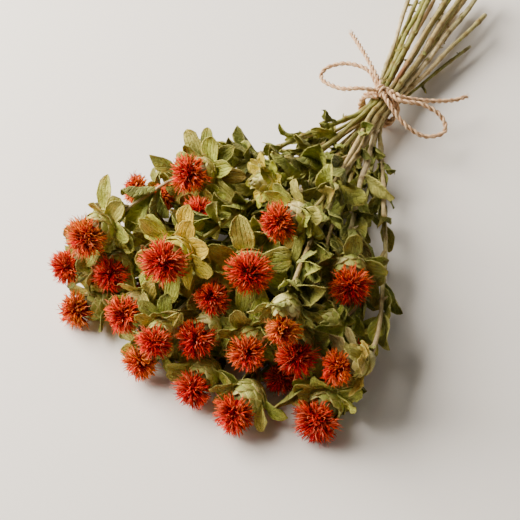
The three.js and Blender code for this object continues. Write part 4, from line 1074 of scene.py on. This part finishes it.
class Look:
    """A material with procedural detail over its colour, which comes from the tint of its points."""

    def __init__(self, name, roughness, specular):
        self.material = bpy.data.materials.new(name)
        self.material.use_nodes = True
        self.tree = self.material.node_tree
        self.shader = self.tree.nodes["Principled BSDF"]
        self.link(roughness, self.shader.inputs["Roughness"])
        self.link(specular, self.shader.inputs["Specular IOR Level"])

    def link(self, value, socket):
        if isinstance(value, bpy.types.NodeSocket):
            self.tree.links.new(value, socket)
        else:
            socket.default_value = value

    def node(self, kind, inputs=(), output=0, **settings):
        """A new node's output. Its inputs are numbers or the outputs of other nodes."""
        node = self.tree.nodes.new("ShaderNode" + kind)
        for name, value in settings.items():
            setattr(node, name, value)
        for name, value in dict(inputs).items():
            self.link(value, node.inputs[name])
        return node.outputs[output]

    def tint(self):
        return self.node("Attribute", output="Color", attribute_name="tint")

    def lay(self):
        lay = self.node("Attribute", output="Color", attribute_name="lay")
        return self.node("SeparateColor", {0: lay}).node.outputs

    def sum(self, operation, *values):
        return self.node("Math", enumerate(values), operation=operation)

    def ripple(self, value, rate):
        """Lines across a value: 0 on each line and 1 between them."""
        return self.sum("ABSOLUTE", self.sum("SINE", self.sum("MULTIPLY", value, rate)))

    def ramp(self, value, rate, start, most):
        """Rises from 0 at the given rate, up to the most."""
        rise = self.sum("MULTIPLY_ADD", value, rate, start)
        return self.sum("MINIMUM", self.sum("MAXIMUM", rise, 0.0), most)

    def noise(self, scale, detail=3.0, vector=None):
        vector = vector or self.node("TexCoord", output="Object")
        return self.node("TexNoise", {"Scale": scale, "Detail": detail, "Vector": vector}, "Fac")

    def streaks(self, around, along, detail):
        """Noise that is drawn out along a tube."""
        x, y, _ = self.lay()
        x, y = self.sum("MULTIPLY", x, around), self.sum("MULTIPLY", y, along)
        return self.noise(1.0, detail, self.node("CombineXYZ", {0: x, 1: y}))

    def shade(self, colour_in, value, low, high):
        """The colour times a factor that runs from low to high with the value."""
        factor = self.sum("MULTIPLY_ADD", value, high - low, low)
        return self.node("VectorMath", {0: colour_in, "Scale": factor}, operation="SCALE")

    def blend(self, factor, colour_in, tone):
        inputs = {0: factor, 6: colour_in, 7: (*map(float, tone), 1.0)}
        return self.node("Mix", inputs, 2, data_type="RGBA")

    def finish(self, colour_out, height, strength, distance):
        bump = self.node("Bump", {"Strength": strength, "Distance": distance, "Height": height})
        self.link(colour_out, self.shader.inputs["Base Color"])
        self.link(bump, self.shader.inputs["Normal"])
        return self.material


def leaf_look():
    """Dried leaf: a leaf's veins leave the midrib at a slant, and a bract's nerves run lengthwise."""
    look = Look("dried_leaf", 0.68, 0.28)
    across, along, kind = look.lay()
    sideways = look.sum("MULTIPLY_ADD", across, 2.0, -1.0)
    net, fleck = look.noise(1500.0, 4.0), look.noise(300.0, 4.0)
    broad, crease = look.noise(75.0, 2.0), look.noise(170.0, 2.0)
    slant = look.sum("MULTIPLY_ADD", broad, 0.35, along)
    slant = look.sum("MULTIPLY_ADD", look.sum("ABSOLUTE", sideways), -0.75, slant)
    nerved = look.ripple(look.sum("MULTIPLY_ADD", fleck, 0.12, sideways), 8.0)
    is_bract = look.sum("GREATER_THAN", kind, 0.5)
    wave = look.sum("MULTIPLY", look.ripple(slant, 8.5), look.sum("SUBTRACT", 1.0, is_bract))
    wave = look.sum("MULTIPLY_ADD", nerved, is_bract, wave)
    vein = look.sum("POWER", look.sum("SUBTRACT", 1.0, wave), 4.0)
    tone = look.shade(look.tint(), broad, 0.35, 1.65)
    tone = look.shade(tone, fleck, 0.5, 1.5)
    tone = look.shade(tone, net, 0.5, 1.5)
    tone = look.blend(look.ramp(broad, 5.0, -3.0, 0.4), tone, GOLDEN_PATCH)
    tone = look.blend(look.ramp(fleck, 6.0, -3.9, 0.7), tone, BROWN_SPOT)
    tone = look.blend(look.sum("MULTIPLY", vein, 0.5), tone, RIB_TONE)
    height = look.sum("MULTIPLY_ADD", fleck, 0.8, look.sum("MULTIPLY", net, 0.6))
    height = look.sum("MULTIPLY_ADD", crease, 1.3, look.sum("MULTIPLY_ADD", vein, 0.4, height))
    return look.finish(tone, height, 1.0, 0.0016)


def scale_look():
    """Papery scale: fine lines along it and a net of creases."""
    look = Look("papery_scale", 0.62, 0.3)
    lines_along = look.ripple(look.lay()[0], 26.0)
    fleck = look.noise(350.0)
    tone = look.shade(look.shade(look.tint(), fleck, 0.7, 1.3), lines_along, 0.85, 1.08)
    return look.finish(tone, look.sum("MULTIPLY_ADD", lines_along, 0.5, fleck), 0.45, 0.0004)


def streaked_look(name, roughness, specular, streaks, streak_range, scale, fleck_range, bump):
    """A tube's material: streaks along it, which also raise its surface, and flecks."""
    look = Look(name, roughness, specular)
    height = look.streaks(*streaks)
    tone = look.shade(look.tint(), height, *streak_range)
    return look.finish(look.shade(tone, look.noise(scale), *fleck_range), height, 0.8, bump)


def floret_look():
    look = Look("florets", 0.7, 0.06)
    fleck = look.noise(900.0, 2.0)
    return look.finish(look.shade(look.tint(), fleck, 0.7, 1.3), fleck, 0.3, 0.0002)


# Pieces

STEM_LOOK = streaked_look("dried_stem", 0.6, 0.35, (34.0, 0.16, 3.0), (0.3, 1.7), 420.0, (0.5, 1.5), 0.0006)
JUTE_LOOK = streaked_look("jute", 0.8, 0.2, (22.0, 0.5, 4.0), (0.5, 1.5), 900.0, (0.8, 1.2), 0.0005)
STEM_LOOKS = [leaf_look(), STEM_LOOK, scale_look()]
FLORET_LOOK = floret_look()
LEAF_CRUMPLE = 1.15
BRACT_CRUMPLE = 0.85

for index in range(len(STEMS)):
    rng = np.random.default_rng(100 + index)
    sheaf = Sheaf()
    for line in lines:
        if line.stem == index:
            add_stem(sheaf, line, rng)
            add_involucre(sheaf, line.head, rng)
    for k, blade in enumerate(leaves + small_leaves):
        if blade.stem == index:
            add_blade(sheaf, blade, rng, LEAF_TONES, LEAF_CRUMPLE, False, k >= len(leaves))
    for k, blade in enumerate(bracts + small_bracts):
        if blade.stem == index:
            nearest = min(STEMS[index][2], key=lambda n: np.linalg.norm(heads[n].base - blade.root))
            own_tones = BRACTS_OF_HEAD.get(nearest, BRACT_TONES)
            add_blade(sheaf, blade, rng, own_tones, BRACT_CRUMPLE, True, k >= len(bracts))
    name = f"stem_{index + 1:02d}"
    sheaf.piece("leafy_" + name, STEM_LOOKS, "dried_greens", name)

for head in heads.values():
    if not head.is_bud:
        sheaf = Sheaf()
        add_florets(sheaf, head, np.random.default_rng(head.number))
        slot_name = "red_florets" if RED_SHARES.get(head.number, 0) > 0.5 else "orange_florets"
        sheaf.piece(f"florets_{head.number:02d}", [FLORET_LOOK], slot_name, f"bloom_{head.number:02d}")

WRAP_TURNS = 3
rng = np.random.default_rng(7)
sheaf = Sheaf()
wrap_radius = RING_RADII[2] + TIE_RADIUS + 0.35 + TWINE_RADIUS
wrap_angles = np.linspace(0, 2 * math.pi * WRAP_TURNS, 24 * WRAP_TURNS + 1) + math.pi / 2
wrap = [
    (
        wrap_radius * math.cos(a),
        (k / len(wrap_angles) - 0.5) * WRAP_PITCH * (WRAP_TURNS - 0.2),
        TIE_HEIGHT + wrap_radius * math.sin(a),
    )
    for k, a in enumerate(wrap_angles)
]
knot_turn = [
    (1.5 * math.sin(a / 2), 3.3 * math.cos(a), KNOT_Z - 0.6 + 2.6 * math.sin(a))
    for a in np.linspace(0, 2 * math.pi * 1.4, 20)
]
knot_bar = [(-4, 2, KNOT_Z - 1.5), (-1.6, -1.4, KNOT_Z + 0.6), (1.8, 1.6, KNOT_Z + 0.8), (4, -1.5, KNOT_Z - 1.2)]
closed_routes = (wrap, knot_turn, knot_bar, LEFT_LOOP, RIGHT_LOOP)
twine_length = sum(add_twine(sheaf, route, rng) for route in closed_routes)
twine_length += sum(add_twine(sheaf, route, rng, frayed=True) for route in (LEFT_TAIL, RIGHT_TAIL))
sheaf.piece("twine", [JUTE_LOOK], "jute_twine", "twine_bow")

# Floor, light and camera

FLOOR_HALF = 3.0
FLOOR_COLOUR = (0.868, 0.80, 0.71, 1)
ROOM_COLOUR = (1.0, 0.945, 0.885, 1)
ROOM_STRENGTH = 0.1
LIT_POINT = (0, -0.08, 0)
CAMERA_TARGET = place((-9, -141, 0))
CAMERA_AT = place((191.9, -489, 478.8))
LENS = 72.3

floor_mesh = bpy.data.meshes.new("floor")
corners = [(x * FLOOR_HALF, y * FLOOR_HALF, 0) for x, y in ((-1, -1), (1, -1), (1, 1), (-1, 1))]
floor_mesh.from_pydata(corners, [], [(0, 1, 2, 3)])
surface = Look("pale_surface", 0.9, 0.2)
floor_mesh.materials.append(surface.finish(FLOOR_COLOUR, surface.noise(900.0, 2.0), 0.12, 0.0004))
floor = bpy.data.objects.new("floor", floor_mesh)
bpy.context.scene.collection.objects.link(floor)


def aim(name, data, start, target):
    """An object that looks from start at the target."""
    thing = bpy.data.objects.new(name, data)
    thing.location = start
    thing.rotation_mode = "QUATERNION"
    thing.rotation_quaternion = (Vector(target) - Vector(start)).to_track_quat("-Z", "Y")
    bpy.context.scene.collection.objects.link(thing)
    return thing


def area_light(name, start, size, power, tone):
    light = bpy.data.lights.new(name, "AREA")
    light.size = size
    light.energy = power
    light.color = tone
    aim(name, light, start, LIT_POINT)


area_light("key", (-1.02, -0.17, 0.765), 1.25, 81, (1.0, 0.97, 0.93))
area_light("fill", (0.2, 1.2, 1.3), 1.6, 3, (1.0, 0.98, 0.95))
world = bpy.data.worlds.new("soft_room")
bpy.context.scene.world = world
world.use_nodes = True
world.node_tree.nodes["Background"].inputs["Color"].default_value = ROOM_COLOUR
world.node_tree.nodes["Background"].inputs["Strength"].default_value = ROOM_STRENGTH
camera_data = bpy.data.cameras.new("camera")
camera_data.lens = LENS
camera_data.sensor_width = 36
camera_data.clip_start = 0.01
bpy.context.scene.camera = aim("camera", camera_data, CAMERA_AT, CAMERA_TARGET)
